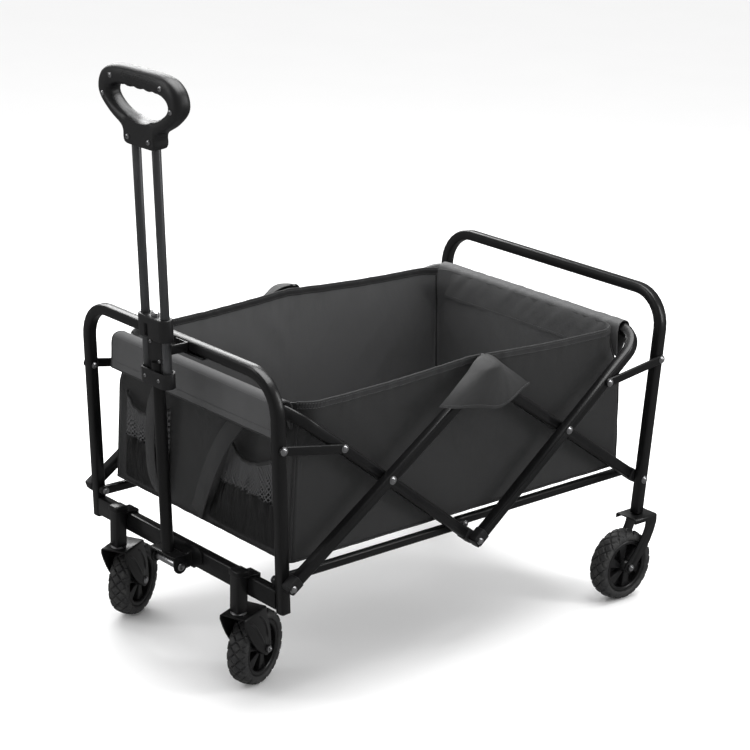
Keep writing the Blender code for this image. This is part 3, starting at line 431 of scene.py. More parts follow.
def aheadAt(line, i):
    return (line[min(i + 1, len(line) - 1)] - line[max(i - 1, 0)]).normalized()


def sweep(path, outline, across=None, look=0, caps=True):
    path = [Vector(p) for p in path]
    rows = []
    for i, p in enumerate(path):
        ahead = aheadAt(path, i)
        flatWay = across or ((0, 0, 1) if abs(ahead.z) < 0.9 else (0, 1, 0))
        side = Vector(flatWay).cross(ahead).normalized()
        up = ahead.cross(side)
        rows.append([p + side * u + up * v for u, v in outline])
    length = lengthsAlong(path)
    wide = len(outline)
    return Shape().grid(rows, wrap=True, caps=caps, look=look,
                        flat=lambda i, j: (length[i], j * 0.03 / wide))


# turns +Z to a direction and moves to a place
def facing(at, direction):
    turn = Vector((0, 0, 1)).rotation_difference(Vector(direction))
    return Matrix.Translation(at) @ turn.to_matrix().to_4x4()


axisY = Matrix(((1, 0, 0), (0, 0, 1), (0, -1, 0))).to_4x4()  # local Z to +Y, local Y to -Z


def finishMesh(name, shape, lookNames, smooth=38):
    mesh = bpy.data.meshes.new(name)
    mesh.from_pydata(shape.points, [], shape.faces)
    layer = mesh.uv_layers.new(name="UVMap")
    layer.data.foreach_set("uv", [c for face in shape.uvs for pair in face for c in pair])
    for look in lookNames:
        mesh.materials.append(looks[look])
    mesh.polygons.foreach_set("material_index", shape.looks)
    mesh.validate()
    mesh.shade_smooth()
    mesh.set_sharp_from_angle(angle=math.radians(smooth))
    made = bpy.data.objects.new(name, mesh)
    bpy.context.scene.collection.objects.link(made)
    return made


# the closed sheets, whose edges are sewn together so that their faces point one way
sheets = ("basketWalls", "basketFloor", "rearSleeve", "frontFlap", "pocketLeftCloth", "pocketRightCloth",
          "hoodLeft", "hoodRight")


def outward(made, smooth, sewn):
    work = bmesh.new()
    work.from_mesh(made.data)
    if sewn:
        bmesh.ops.remove_doubles(work, verts=work.verts[:], dist=2e-6)
    bmesh.ops.recalc_face_normals(work, faces=work.faces[:])
    work.to_mesh(made.data)
    work.free()
    made.data.set_sharp_from_angle(angle=math.radians(smooth))


def addPiece(name, shape, body, lookNames, slot=None, replaces=(), smooth=38, loose=False):
    names = [lookNames] if isinstance(lookNames, str) else lookNames
    made = finishMesh(name, shape, names, smooth)
    if not loose:
        outward(made, smooth, name in sheets)
    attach(made, body)
    if slot:
        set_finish(made, slot)
    if replaces:
        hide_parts(*replaces)
    return made


def centreOf(node):
    low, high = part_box(node)
    return (low + high) / 2


# ---- places read off the frame ----
lowerPivot = centreOf("lower_pin_left")
frontCross = centreOf("scissor_pin_front_left")
rearCross = centreOf("scissor_pin_rear_left")
middleX = lowerPivot.x
barRound = 0.009
barLow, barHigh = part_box("scissor_bar_front_left")
frontPivot = Vector((barLow.x + barRound, 0, barLow.z + barRound))
topPivot = Vector((middleX, 0, barHigh.z - barRound))
rearPivot = Vector((2 * middleX - frontPivot.x, 0, frontPivot.z))
innerPlane = 0.25
outerPlane = 0.2685
halfTube = 0.009
linkRound = 0.0075
joints = {j["name"]: j for j in frame["joints"]}


# carried-over CAD nodes: smooth shading, a hair of bevel on their edges and a real material
def dressNode(node, look, bevel=0.0007):
    part = frame["nodes"][node]
    mesh = part.data
    mesh.materials.clear()
    mesh.materials.append(looks[look])
    mesh.polygons.foreach_set("material_index", [0] * len(mesh.polygons))
    if "custom_normal" in mesh.attributes:
        mesh.attributes.remove(mesh.attributes["custom_normal"])
    mesh.shade_smooth()
    mesh.set_sharp_from_angle(angle=math.radians(40))
    weld = part.modifiers.new("weld", "WELD")
    weld.merge_threshold = 0.00002
    if bevel:
        rounding = part.modifiers.new("round", "BEVEL")
        rounding.width = bevel
        rounding.segments = 2
        rounding.limit_method = "ANGLE"
        rounding.angle_limit = math.radians(40)
        rounding.harden_normals = False


for row in frame["record"]["subparts"]:
    dressNode(row["node"], slotLooks[row["material_slot"]])
for side in sides:
    dressNode(f"handle_rod_{side}", "gunmetal", 0)
print("frame nodes dressed")


# ---- rivets, washers and end caps ----
rivet = {"head": 0.0052, "rise": 0.0026, "washer": 0.0070, "plate": 0.0009}


def rivetHead(scale=1.0):
    head, rise = rivet["head"] * scale, rivet["rise"] * scale
    washer, plate = rivet["washer"] * scale, rivet["plate"]
    profile = [(0.0001, -0.0006), (washer - 0.0003, -0.0006), (washer, 0), (washer, plate * 0.6),
               (washer - 0.0004, plate), (head + 0.0002, plate), (head, plate + rise * 0.25),
               (head * 0.93, plate + rise * 0.55), (head * 0.74, plate + rise * 0.83),
               (head * 0.42, plate + rise * 0.98), (head * 0.24, plate + rise),
               (head * 0.18, plate + rise * 0.86), (0.0001, plate + rise * 0.84)]
    return lathe(profile, 24)


# heads on both sides of the wagon; spots are (x, z, distance from the middle, outward?, scale)
def rivetSet(name, body, spots, replaces=(), look="zinc"):
    shape = Shape()
    for side in sides.values():
        for x, z, y, out, scale in spots:
            shape.add(rivetHead(scale), facing((x, side * y, z), (0, side * out, 0)))
    return addPiece(name, shape, body, look, "bolt_silver", replaces)


outFace = outerPlane + halfTube
inFace = innerPlane - halfTube


def pinAt(place, face, out, scale):
    return place.x, place.z, face, out, scale


rivetSet("rivetsFrontFrame", "front_frame", [pinAt(frontPivot, inFace - 0.0128, -1, 0.85)])
rivetSet("rivetsFrontBars", "scissor_front",
         [pinAt(frontCross, outFace, 1, 1), pinAt(frontCross, inFace, -1, 0.8), pinAt(topPivot, outFace, 1, 1),
          pinAt(frontPivot, outFace, 1, 1)],
         ("scissor_pin_front_left", "scissor_pin_front_right"))
rivetSet("rivetsRearBars", "scissor_rear",
         [pinAt(rearCross, outFace, 1, 1), pinAt(rearCross, inFace, -1, 0.8), pinAt(topPivot, inFace, -1, 0.8)],
         ("scissor_pin_rear_left", "scissor_pin_rear_right"))
rivetSet("rivetsLowerPivot", "front_rail",
         [pinAt(lowerPivot, inFace, -1, 0.8), pinAt(lowerPivot, outFace, 1, 1)],
         ("lower_pin_left", "lower_pin_right"))
rivetSet("rivetsRearLegs", "rear_frame", [pinAt(rearPivot, outFace, 1, 1)])


# a link's two ends, at the leg and at the rail
def linkEnds(node, side):
    lowCorner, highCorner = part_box(node)
    legX = lowCorner.x + linkRound if side < 0 else highCorner.x - linkRound
    railX = highCorner.x - linkRound if side < 0 else lowCorner.x + linkRound
    return (legX, highCorner.z - linkRound), (railX, lowCorner.z + linkRound)


for end, side, plane in (("front", -1, innerPlane), ("rear", 1, outerPlane)):
    legEnd, railEnd = linkEnds(f"{end}_link_left", side)
    face = plane + halfTube + 0.0045
    rivetSet(f"rivets{end.title()}Links", f"{end}_links",
             [(*legEnd, face, 1, 0.95), (*railEnd, face, 1, 0.95)])
for end, side, face in (("front", -1, inFace), ("rear", 1, outerPlane - halfTube)):
    legEnd = linkEnds(f"{end}_link_left", side)[0]
    rivetSet(f"rivetsLegs{end.title()}", f"{end}_frame", [(*legEnd, face, -1, 0.75)])
rivetSet("rivetsBaseFront", "front_base_bars", [(middleX, rearPivot.z, inFace - 0.0005, 1, 0.85)])
rivetSet("rivetsBaseRear", "rear_base_bars", [(middleX, rearPivot.z, inFace - 0.0255, -1, 0.75),
                                              (rearPivot.x, rearPivot.z, inFace - 0.0255, -1, 0.75)])
print("rivets placed")


# plastic plugs over the bars' open ends: a cup with a raised rim
cap = {"long": 0.017, "wall": 0.0012, "dome": 0.0035}


def endCap(at, direction, plane, side):
    half = halfTube + cap["wall"]
    rows = []
    over = halfTube * 0.55
    for back, grow in ((-cap["long"], 0.0), (-cap["long"] + 0.0012, 1.0), (over, 1.0),
                       (over + cap["dome"] * 0.5, 0.86), (over + cap["dome"], 0.55)):
        size = half * grow if grow else halfTube
        rows.append([(u, v, back) for u, v in roundedBox(size, size, 0.004 * max(grow, 0.6), 3)])
    return Shape().grid(rows, wrap=True, caps=True).placed(
        Matrix.Translation((at.x, side * plane, at.z)) @ barTurn(direction))


# local Z along the bar and local Y across the wagon
def barTurn(direction):
    z = Vector(direction).normalized()
    y = Vector((0, 1, 0))
    return Matrix((y.cross(z), y, z)).transposed().to_4x4()


def capSet(name, body, spots):
    shape = Shape()
    for side in sides.values():
        for at, direction, plane in spots:
            shape.add(endCap(at, direction, plane, side))
    return addPiece(name, shape, body, "plastic", "plastic_black")


longWay = (topPivot - frontPivot).normalized()
railWay = Vector((frontCross.x - lowerPivot.x, 0, frontCross.z - lowerPivot.z)).normalized()
rearWay = Vector((-railWay.x, 0, railWay.z))
capSet("capsFrontBars", "scissor_front",
       [(frontPivot, -longWay, outerPlane), (topPivot, longWay, outerPlane)])
capSet("capsRearBars", "scissor_rear", [(rearPivot, Vector((longWay.x, 0, -longWay.z)), innerPlane)])
capSet("capsFrontRail", "front_rail", [(lowerPivot, -railWay, innerPlane)])
capSet("capsRearRail", "rear_rail", [(lowerPivot, -rearWay, outerPlane)])
print("caps placed")


# ---- wheels ----
tyre = {"radius": 0.0625, "seat": 0.0462, "width": 0.036, "lug": 0.0024, "lugs": 20}


def tyreShape():
    half, seat = tyre["width"] / 2, tyre["seat"]
    crown = tyre["radius"]
    section = [(seat, -half + 0.006), (seat + 0.0008, -half + 0.0022), (seat + 0.003, -half + 0.0006),
               (seat + 0.0062, -half), (crown - 0.0085, -half + 0.0003)]
    section += [(crown - 0.0085 + 0.0072 * math.sin(t), -half + 0.0003 + 0.0080 * (1 - math.cos(t)))
                for t in [math.pi / 2 * i / 6 for i in range(1, 7)]]
    steps = 22
    section += [(crown - 0.0013 + 0.0013 * math.sin(math.pi * i / steps),
                 -half + 0.0083 + (tyre["width"] - 0.0166) * i / steps) for i in range(1, steps)]
    section += [(r, -h) for r, h in reversed(section[:11])]
    turns = 312
    rows = []
    for i in range(turns):
        angle = 2 * math.pi * i / turns
        row = []
        for r, h in section:
            grow = 0.0
            reach = min(max((r - (crown - 0.0115)) / 0.004, 0), 1)
            if reach:
                phase = angle * tyre["lugs"] / (2 * math.pi)
                across = h / tyre["width"] * 2.0
                a = abs((phase + across) % 1 - 0.5)
                b = abs((phase - across) % 1 - 0.5)
                cut = min(a, b)
                grow = -tyre["lug"] * reach * (1 - min(max((cut - 0.060) / 0.045, 0), 1))
            row.append(((r + grow) * math.cos(angle), (r + grow) * math.sin(angle), h))
        rows.append(row)
    rows.append(rows[0])
    rows = [list(column) for column in zip(*rows)]
    rows.append(rows[0])
    return Shape().grid(rows)


rim = {"outer": 0.0460, "inner": 0.0395, "width": 0.031, "hub": 0.0105, "spokes": 6}


def rimShape():
    half = rim["width"] / 2
    outer, inner = rim["outer"], rim["inner"]
    ring = [(outer - 0.0012, half), (outer, half - 0.0008), (outer, -half + 0.0008), (outer - 0.0012, -half),
            (inner + 0.0015, -half), (inner, -half + 0.0014), (inner + 0.0006, -half * 0.4),
            (inner + 0.0006, half * 0.4), (inner, half - 0.0014), (inner + 0.0015, half)]
    shape = lathe(ring, 96, closed=True)
    hubHalf = 0.0195
    hub = [(rim["hub"] - 0.0012, hubHalf), (rim["hub"], hubHalf - 0.0014), (rim["hub"] + 0.0014, 0.009),
           (rim["hub"] + 0.0014, -0.009), (rim["hub"], -hubHalf + 0.0014), (rim["hub"] - 0.0012, -hubHalf),
           (0.0034, -hubHalf), (0.0034, hubHalf)]
    shape.add(lathe(hub, 40, closed=True))
    web = [(rim["hub"] - 0.001, 0.0016), (rim["hub"] + 0.003, 0.0020), (inner + 0.0016, 0.0016),
           (inner + 0.0016, -0.0016), (rim["hub"] + 0.003, -0.0020), (rim["hub"] - 0.001, -0.0016)]
    shape.add(lathe(web, 72, closed=True))
    # each spoke is a blade that widens from the hub to the ring and leans like a pinwheel
    for i in range(rim["spokes"]):
        root, tip = rim["hub"] - 0.0012, inner + 0.0012
        blade = [(root * math.cos(a), root * math.sin(a)) for a in (-0.42, 0.0, 0.42)]
        blade += [(tip * math.cos(a), tip * math.sin(a)) for a in (0.62, 0.50, 0.38, 0.26, 0.14)]
        turn = Matrix.Rotation(2 * math.pi * i / rim["spokes"], 4, "Z")
        shape.add(slab(blade, -0.0105, 0.0105, 0.0011), turn)
    return shape


def boltWithNut(reach):
    shape = Shape()
    shape.add(slab(circle(0.0062, 6), reach, reach + 0.0044, 0.0007))
    shape.add(lathe([(0.0001, reach + 0.004), (0.0030, reach + 0.004), (0.0030, reach + 0.0062),
                     (0.0022, reach + 0.0069), (0.0001, reach + 0.0069)], 20))
    shape.add(lathe([(0.0001, -reach - 0.0036), (0.0036, -reach - 0.0034), (0.0056, -reach - 0.0022),
                     (0.0064, -reach - 0.0006), (0.0064, -reach), (0.0030, -reach),
                     (0.0030, reach), (0.0001, reach)], 28))
    return shape


for end in ("front", "rear"):
    for side in sides:
        carrier, axle, spin = "rear_frame", f"rear_axle_{side}", (0, 1, 0)
        if end == "front":
            carrier, axle = f"caster_{side}", f"caster_axle_{side}"
            spin = joints[f"front_wheel_spin_{side}"]["axis"]
        turn = Vector((0, 1, 0)).rotation_difference(Vector(spin)).to_matrix().to_4x4()
        where = Matrix.Translation(centreOf(f"{end}_tyre_{side}")) @ turn @ axisY
        body, name = f"{end}_wheel_{side}", f"{end}{side.title()}"
        addPiece(f"{name}Tyre", tyreShape().placed(where), body, "rubber", "tyre_rubber",
                 (f"{end}_tyre_{side}",), 50)
        addPiece(f"{name}Rim", rimShape().placed(where), body, "rimPlastic", "rim_plastic",
                 (f"{end}_rim_{side}",))
        nutOut = where if sides[side] > 0 else where @ Matrix.Rotation(math.pi, 4, "X")
        addPiece(f"{name}Axle", boltWithNut(0.0236).placed(nutOut), carrier, "zinc", "bolt_silver", (axle,))
print("wheels built")


# ---- basket: walls, floor, hem, sleeve and seams; x is measured from the middle of the wagon ----
basket = {"end": 0.3523, "half": 0.2352, "low": 0.2325, "rim": 0.484, "peak": 0.497, "spread": 0.0095,
          "sheet": 0.0020, "rows": 40, "long": 96, "short": 60, "arc": 8}
middle = Matrix.Translation((middleX, 0, 0))


def noiseAt(*place):
    return noise.noise(Vector(place))


def smooth(t):
    t = min(max(t, 0), 1)
    return t * t * (3 - 2 * t)


def reachAt(z):
    return basket["end"] + basket["spread"] * (basket["rim"] - z) / (basket["rim"] - basket["low"])


def cornerAt(z):
    return 0.011 + 0.040 * smooth((z - 0.395) / 0.065)


def hemAt(x):
    t = min(abs(x) / basket["end"], 1)
    sag = 0.0035 * math.sin(math.pi * min(t * 1.05, 1))
    return basket["rim"] + (basket["peak"] - basket["rim"]) * (1 - t) - sag


# (corner, angle) on the arcs and (corner, None, share) on the runs between them, once around
def stationList():
    made = []
    for k in range(4):
        made += [(k, 90 * k + 90 * i / basket["arc"], None) for i in range(basket["arc"])]
        count = basket["long"] if k % 2 == 0 else basket["short"]
        made += [(k, None, i / count) for i in range(count)]
    return made


cornerSigns = ((1, 1), (-1, 1), (-1, -1), (1, -1))


def planPoint(station, z, off):
    k, angle, share = station
    a, b, r = reachAt(z) - off, basket["half"] - off, max(cornerAt(z) - off, 0.004)

    def onArc(corner, degrees):
        sx, sy = cornerSigns[corner % 4]
        t = math.radians(degrees)
        return Vector((sx * (a - r) + r * math.cos(t), sy * (b - r) + r * math.sin(t), z))
    if share is None:
        t = math.radians(angle)
        return onArc(k, angle), Vector((math.cos(t), math.sin(t), 0))
    first, last = onArc(k, 90 * k + 90), onArc(k + 1, 90 * k + 90)
    t = math.radians(90 * k + 90)
    return first.lerp(last, share), Vector((math.cos(t), math.sin(t), 0))


# how far the cloth stands in from its plain shape: a soft hollow, drawn folds and puckers under the hem
def slack(p, normal, v):
    longSide = abs(normal.y) > 0.9
    u = p.x if longSide else p.y
    half = 0.33 if longSide else 0.22
    inner = max(1 - (u / half) ** 2, 0)
    side = 3.1 * normal.x + 7.7 * normal.y
    hollow = (0.0052 if longSide else 0.0040) * inner * math.sin(math.pi * v) ** 1.3
    wide = 0.0042 * noiseAt(u * 5.5, v * 1.7, side) * math.sin(math.pi * v)
    tilt = math.copysign(1, u)
    across, along = u * 0.8 - tilt * v * 0.17, u * 0.5 + tilt * v * 0.2
    drawn = 0.0030 * max(noiseAt(across * 26, along * 5, side + 4), 0)
    drawn *= (0.35 + 0.65 * v) * math.sin(math.pi * v)
    pucker = 0.0014 * noiseAt(u * 70, v * 5, side + 9) * smooth((v - 0.72) / 0.28)
    foot = 0.0012 * noiseAt(u * 42, v * 4, side + 2) * smooth((0.25 - v) / 0.25)
    return hollow + wide + drawn + pucker + foot


# the cloth is pulled nearly flat round a corner
def calmAt(station):
    return 0.25 if station[2] is None else 1.0


def wallRows(off):
    rows = []
    stations = stationList()
    count = basket["rows"]
    for i in range(count + 1):
        v = i / count
        row = []
        for station in stations:
            p, normal = planPoint(station, 0.4, 0)
            top = hemAt(p.x) if abs(normal.y) > 0.1 else basket["rim"] - 0.001
            z = basket["low"] + (top - basket["low"]) * v
            p, normal = planPoint(station, z, off)
            row.append(p - normal * max(slack(p, normal, v) * calmAt(station), -0.0010))
        rows.append(row)
    return rows


def basketWalls():
    outer, inner = wallRows(0.0), wallRows(basket["sheet"])
    middleRow = outer[basket["rows"] // 2]
    length = lengthsAlong(middleRow + middleRow[:1])
    tall = basket["peak"] - basket["low"]
    flat = lambda i, j: (length[j], tall * i / basket["rows"])
    shape = Shape().grid(outer, wrap=True, flat=flat, look=0)
    shape.grid(inner, wrap=True, flat=flat, look=1, flip=True)
    shape.grid([outer[-1], inner[-1]], wrap=True, flat=lambda i, j: (length[j], 0.002 * i), look=0)
    shape.grid([outer[0], inner[0]], wrap=True, flat=lambda i, j: (length[j], 0.002 * i), look=0, flip=True)
    return shape, length[-1]


wallShape, girth = basketWalls()
walls = addPiece("basketWalls", wallShape.placed(middle), "front_frame", ["canvas", "lining"], "basket_fabric",
                 ("basket",), 60)


# strips round the four edges of two sheets that lie on each other
def closeEdges(shape, front, back, step, look=0):
    for first, second in (([r[0] for r in back], [r[0] for r in front]),
                          ([r[-1] for r in front], [r[-1] for r in back]),
                          (front[0], back[0]), (back[-1], front[-1])):
        shape.grid([first, second], flat=lambda i, j: (j * step, i * step), look=look)
    return shape


# floor: a stiff board in four leaves under cloth, inside a sewn edge
def basketFloor():
    a, b, z = reachAt(0.24) - 0.0045, basket["half"] - 0.0045, basket["low"]
    nx, ny = 120, 72

    def plate(up):
        rows = []
        for i in range(nx + 1):
            row = []
            for j in range(ny + 1):
                s, t = 2 * i / nx - 1, 2 * j / ny - 1
                crease = sum(math.exp(-((s - c) * a / 0.004) ** 2) for c in (-0.5, 0.0, 0.5))
                puff = 0.0012 * noiseAt(s * 4, t * 3, 1.5) + 0.0005 * noiseAt(s * 22, t * 15, 3)
                edge = smooth((1 - abs(s)) / 0.03) * smooth((1 - abs(t)) / 0.04)
                level = 0.0068 * (0.35 + 0.65 * edge) - 0.0022 * crease + puff * edge
                row.append((s * a, t * b, z + (level if up else 0.0006)))
            rows.append(row)
        return rows
    top, under = plate(True), plate(False)
    flat = lambda i, j: (2 * a * i / nx, 2 * b * j / ny)
    shape = Shape().grid(top, flat=flat, look=0).grid(under, flat=flat, look=1, flip=True)
    return closeEdges(shape, under, top, 0.006), (2 * a, 2 * b)


floorShape, floorCut = basketFloor()
floorPad = addPiece("basketFloor", floorShape.placed(middle), "front_frame", ["lining", "canvas"],
                    "basket_fabric", (), 50)


# one stitch is a short six-sided spindle
def stitch(shape, first, last, radius=0.00042, look=0):
    way = (last - first)
    turn = Vector((0, 0, 1)).rotation_difference(way).to_matrix()
    rows = []
    for share, width in ((0, 0.45), (0.25, 1), (0.75, 1), (1, 0.45)):
        rows.append([first + way * share + turn @ Vector((u, v, 0)) for u, v in circle(radius * width, 5)])
    shape.grid(rows, wrap=True, caps=True, look=look)


# stitches along a line of points, each a little above the cloth
def stitchLine(shape, line, step=0.0048, share=0.66):
    line = [Vector(p) for p in line]
    walked, want = 0.0, 0.0
    for a, b in zip(line, line[1:]):
        span = (b - a).length
        while want < walked + span:
            t = (want - walked) / span
            start = a.lerp(b, t)
            stitch(shape, start, start + (b - a) / span * step * share)
            want += step
        walked += span


# hem: a bound edge folded over the side walls, with two rows of stitches on each face
hem = {"tall": 0.0135, "thick": 0.0040}
hemShape, threads = Shape(), Shape()
for k in (0, 2):
    along = [(k, 90 * k + t, None) for t in np.linspace(42, 90, 8)[:-1]]
    along += [(k, None, i / 110) for i in range(111)]
    along += [(k + 1, 90 * k + 90 + t, None) for t in np.linspace(0, 48, 8)[1:]]
    line, ways = [], []
    for station in along:
        rough = planPoint(station, basket["rim"], basket["sheet"] / 2)[0]
        z = hemAt(rough.x)
        p, normal = planPoint(station, z, basket["sheet"] / 2)
        lift = Vector((0, 0, 0.0008 + 0.0004 * noiseAt(p.x * 60, k, 0)))
        line.append(p - normal * slack(p, normal, 0.97) * calmAt(station) + lift)
        ways.append(normal)
    rows = []
    outline = roundedBox(hem["thick"] / 2, hem["tall"] / 2, 0.0016, 3)
    for p, normal in zip(line, ways):
        wave = 0.0003 * noiseAt(p.x * 90, k * 5, 2)
        rows.append([p + normal * (u + wave) + Vector((0, 0, v - hem["tall"] / 2 + 0.0012))
                     for u, v in outline])
    length = [(line[0] - p).length for p in line]
    hemShape.grid(rows, wrap=True, caps=True, flat=lambda i, j: (length[i], j * 0.0025))
    for out in (1, -1):
        for down in (0.0022, 0.0098):
            stitchLine(threads, [p + normal * out * (hem["thick"] / 2 + 0.0001) + Vector((0, 0, -down))
                                 for p, normal in zip(line, ways)])
addPiece("hemBinding", hemShape.placed(middle), "front_frame", "webbing", "basket_fabric", (), 50)


# sleeve: the end wall's cloth goes over the rear rail and is sewn down below it
sleeve = {"x": 0.364, "z": 0.476, "half": 0.2275, "sheet": 0.0012}
sleeveLine = [(-0.0140, -0.046), (-0.0146, -0.030), (-0.0150, -0.012), (-0.0142, 0.002), (-0.0118, 0.0105),
              (-0.0050, 0.0152), (0.0030, 0.0155), (0.0105, 0.0118), (0.0146, 0.0045), (0.0152, -0.0045),
              (0.0128, -0.0135), (0.0060, -0.0230), (-0.0010, -0.0330), (-0.0080, -0.0460)]


def smoothLine(points, steps, closed=False):
    made = []
    count = len(points)
    spans = count if closed else count - 1
    for i in range(spans):
        get = (lambda k: points[k % count]) if closed else (lambda k: points[min(max(k, 0), count - 1)])
        p0, p1, p2, p3 = get(i - 1), get(i), get(i + 1), get(i + 2)
        for s in range(steps):
            t = s / steps
            made.append(tuple(0.5 * (2 * b + (c - a) * t + (2 * a - 5 * b + 4 * c - d) * t * t
                                     + (3 * b - a - 3 * c + d) * t ** 3) for a, b, c, d in zip(p0, p1, p2, p3)))
    if not closed:
        made.append(tuple(points[-1]))
    return made


# a sheet with thickness: outer rows one way and inner rows back, so that it closes on itself
def shell(rows, normals, thick, flat):
    back = [[p - n * thick for p, n in zip(row, ns)] for row, ns in zip(rows, normals)]
    shape = Shape().grid(rows, flat=flat).grid(back, flat=flat, flip=True)
    return closeEdges(shape, rows, back, 0.002)


def sheetNormals(rows):
    made = []
    for i, row in enumerate(rows):
        line = []
        for j, p in enumerate(row):
            du = Vector(rows[min(i + 1, len(rows) - 1)][j]) - Vector(rows[max(i - 1, 0)][j])
            dv = Vector(row[min(j + 1, len(row) - 1)]) - Vector(row[max(j - 1, 0)])
            line.append(du.cross(dv).normalized())
        made.append(line)
    return made


# how far a rail's middle has turned inwards at distance y from the wagon's middle
def bendDrop(y, start, radius=0.045):
    past = max(min(y - start, radius * 0.95), 0)
    return radius - math.sqrt(radius * radius - past * past)


def rearSleeve():
    outline = smoothLine(sleeveLine, 4)
    rows = []
    for i in range(97):
        y = sleeve["half"] * (2 * i / 96 - 1)
        row = []
        for j, (u, v) in enumerate(outline):
            low = smooth((-v - 0.012) / 0.03)
            fold = 0.0024 * noiseAt(y * 34, j * 0.10, 3) * low
            fold += 0.0013 * noiseAt(y * 60 + v * 60, j * 0.05, 8)
            away = Vector((u, v + 0.012)).normalized() * fold
            drop = 0.0016 * noiseAt(y * 9, 0, 5)
            bend = bendDrop(abs(y), 0.2235) * (1 - 0.5 * low)
            row.append(Vector((sleeve["x"] + u + away.x - bend * 0.78, y,
                               sleeve["z"] + v + away.y + drop * low - bend * 0.5)))
        rows.append(row)
    length = lengthsAlong(outline)
    rows = rows[::-1]
    flat = lambda i, j: (2 * sleeve["half"] * i / 96, length[j])
    return shell(rows, sheetNormals(rows), sleeve["sheet"], flat), length[-1]


sleeveShape, sleeveGirth = rearSleeve()
sleevePiece = addPiece("rearSleeve", sleeveShape.placed(middle), "front_frame", "lining", "basket_fabric",
                       (), 70)
stitchLine(threads, [(sleeve["x"] - 0.0152 - 0.0004 + 0.0006 * noiseAt(y * 30, 0, 1), y, sleeve["z"] - 0.0405)
                     for y in np.linspace(-0.212, 0.212, 60)], 0.0052)


# corner seams: a bound cord down each corner, outside and inside
seams = Shape()
for k in range(4):
    for off, radius in ((-0.0004, 0.0017), (basket["sheet"] + 0.0004, 0.0015)):
        line = []
        for i in range(31):
            z = basket["low"] + 0.004 + (basket["rim"] - 0.012 - basket["low"] - 0.004) * i / 30
            p, normal = planPoint((k, 90 * k + 45, None), z, off)
            line.append(p + Vector((noiseAt(z * 30, k, 1), noiseAt(z * 30, k, 2), 0)) * 0.0006)
        seams.add(sweep(line, circle(radius, 8)))
foot = [planPoint(station, basket["low"] + 0.0025, -0.0006) for station in stationList()[::2]]
ring = [(p - normal * slack(p, normal, 0.01), normal) for p, normal in foot]
seams.grid([[p + normal * u + Vector((0, 0, v)) for u, v in circle(0.0017, 8)]
            for p, normal in ring + ring[:1]], wrap=True)
addPiece("basketSeams", seams.placed(middle), "front_frame", "webbing", "basket_fabric", (), 60)
print("basket built")


# ---- front flap: a lighter sheet over the front rail ----
flap = {"half": 0.2165, "x": -0.364, "z": 0.476, "sheet": 0.0013,
        "line": [(0.0156, -0.032), (0.0154, -0.014), (0.0150, 0.002), (0.0118, 0.0108), (0.0040, 0.0148),
                 (-0.0050, 0.0150), (-0.0122, 0.0108), (-0.0150, 0.002), (-0.0156, -0.012), (-0.0160, -0.026),
                 (-0.0166, -0.042)]}


def frontFlap():
    outline = smoothLine(flap["line"], 4)
    length = lengthsAlong(outline)
    rows = []
    for i in range(81):
        y = flap["half"] * (2 * i / 80 - 1)
        row = []
        for j, (u, v) in enumerate(outline):
            loose = smooth((length[j] - 0.062) / 0.04)
            wave = 0.0016 * noiseAt(y * 11, 0, 2) * loose + 0.0005 * noiseAt(y * 38, v * 30, 4)
            bend = bendDrop(abs(y), 0.205)
            row.append(Vector((flap["x"] + u - max(wave, -0.0007) + bend * 0.78, y,
                               flap["z"] + v + 0.0012 * noiseAt(y * 7, 3, 2) * loose - bend * 0.62)))
        rows.append(row)
    flat = lambda i, j: (2 * flap["half"] * i / 80, length[j])
    return rows, flat, length[-1]


flapRows, flapFlat, flapLength = frontFlap()
flapShape = shell(flapRows, sheetNormals(flapRows), -flap["sheet"], flapFlat)
flapPiece = addPiece("frontFlap", flapShape.placed(middle), "front_frame", "flapCloth", "flap_fabric",
                     ("front_flap",), 60)
for k in (-4, -17):
    stitchLine(threads, [row[k] + Vector((-0.0017, 0, 0)) for row in flapRows], 0.0050)
edges = Shape()
for rowAt in (0, -1):
    edges.add(sweep([p + Vector((-0.0004, 0, 0)) for p in flapRows[rowAt]], circle(0.0021, 8), (0, 1, 0)))
edges.add(sweep([row[-1] + Vector((-0.0004, 0, 0)) for row in flapRows], circle(0.0016, 8)))
addPiece("flapPiping", edges.placed(middle), "front_frame", "webbing", "flap_fabric", (), 60)


# ---- pockets: gathered cloth below, net above and an elastic rim ----
pocket = {"wide": {"left": 0.150, "right": 0.1205}, "outer": 0.2025, "foot": 0.247, "net": 0.318,
          "rim": 0.392, "sag": 0.020, "full": 0.0125, "gather": 1.15, "cut": 1.16}


def pocketPoint(side, t, z, bulge):
    # the near pocket's inner edge slants along its strap
    up = (z - pocket["foot"]) / (pocket["rim"] - pocket["foot"])
    inner = 0.082 if side > 0 else 0.028 + 0.058 * up
    y = side * (inner + (pocket["outer"] - inner) * t)
    full = math.sin(math.pi * t) ** 0.55
    return Vector((-reachAt(z) - 0.0022 - bulge * full, y, z))


def pocketRows(side, low, high, count, bulgeAt, gather):
    rows = []
    for i in range(count + 1):
        v = i / count
        row = []
        for j in range(81):
            t = j / 80
            top = high(t)
            z = low(t) + (top - low(t)) * v
            p = pocketPoint(side, t, z, bulgeAt(v))
            warp = t + 0.05 * noiseAt(t * 4, v * 1.2, side)
            pleat = 1.5 * noiseAt(warp * 15, v * 0.7, side * 7)
            pleat += 0.7 * noiseAt(warp * 34 + v * 2, v * 1.5, side * 5)
            full = min(math.sin(math.pi * t) * 3, 1)
            p.x += (gather(v) * pleat + 0.0016 * noiseAt(t * 9, v * 3, side * 3)) * full
            row.append(p)
        rows.append(row if side > 0 else row[::-1])
    return rows


def bulgeOver(start, gain):
    return lambda v: 0.0010 + pocket["full"] * math.sin(math.pi * (start + gain * v)) ** 0.8


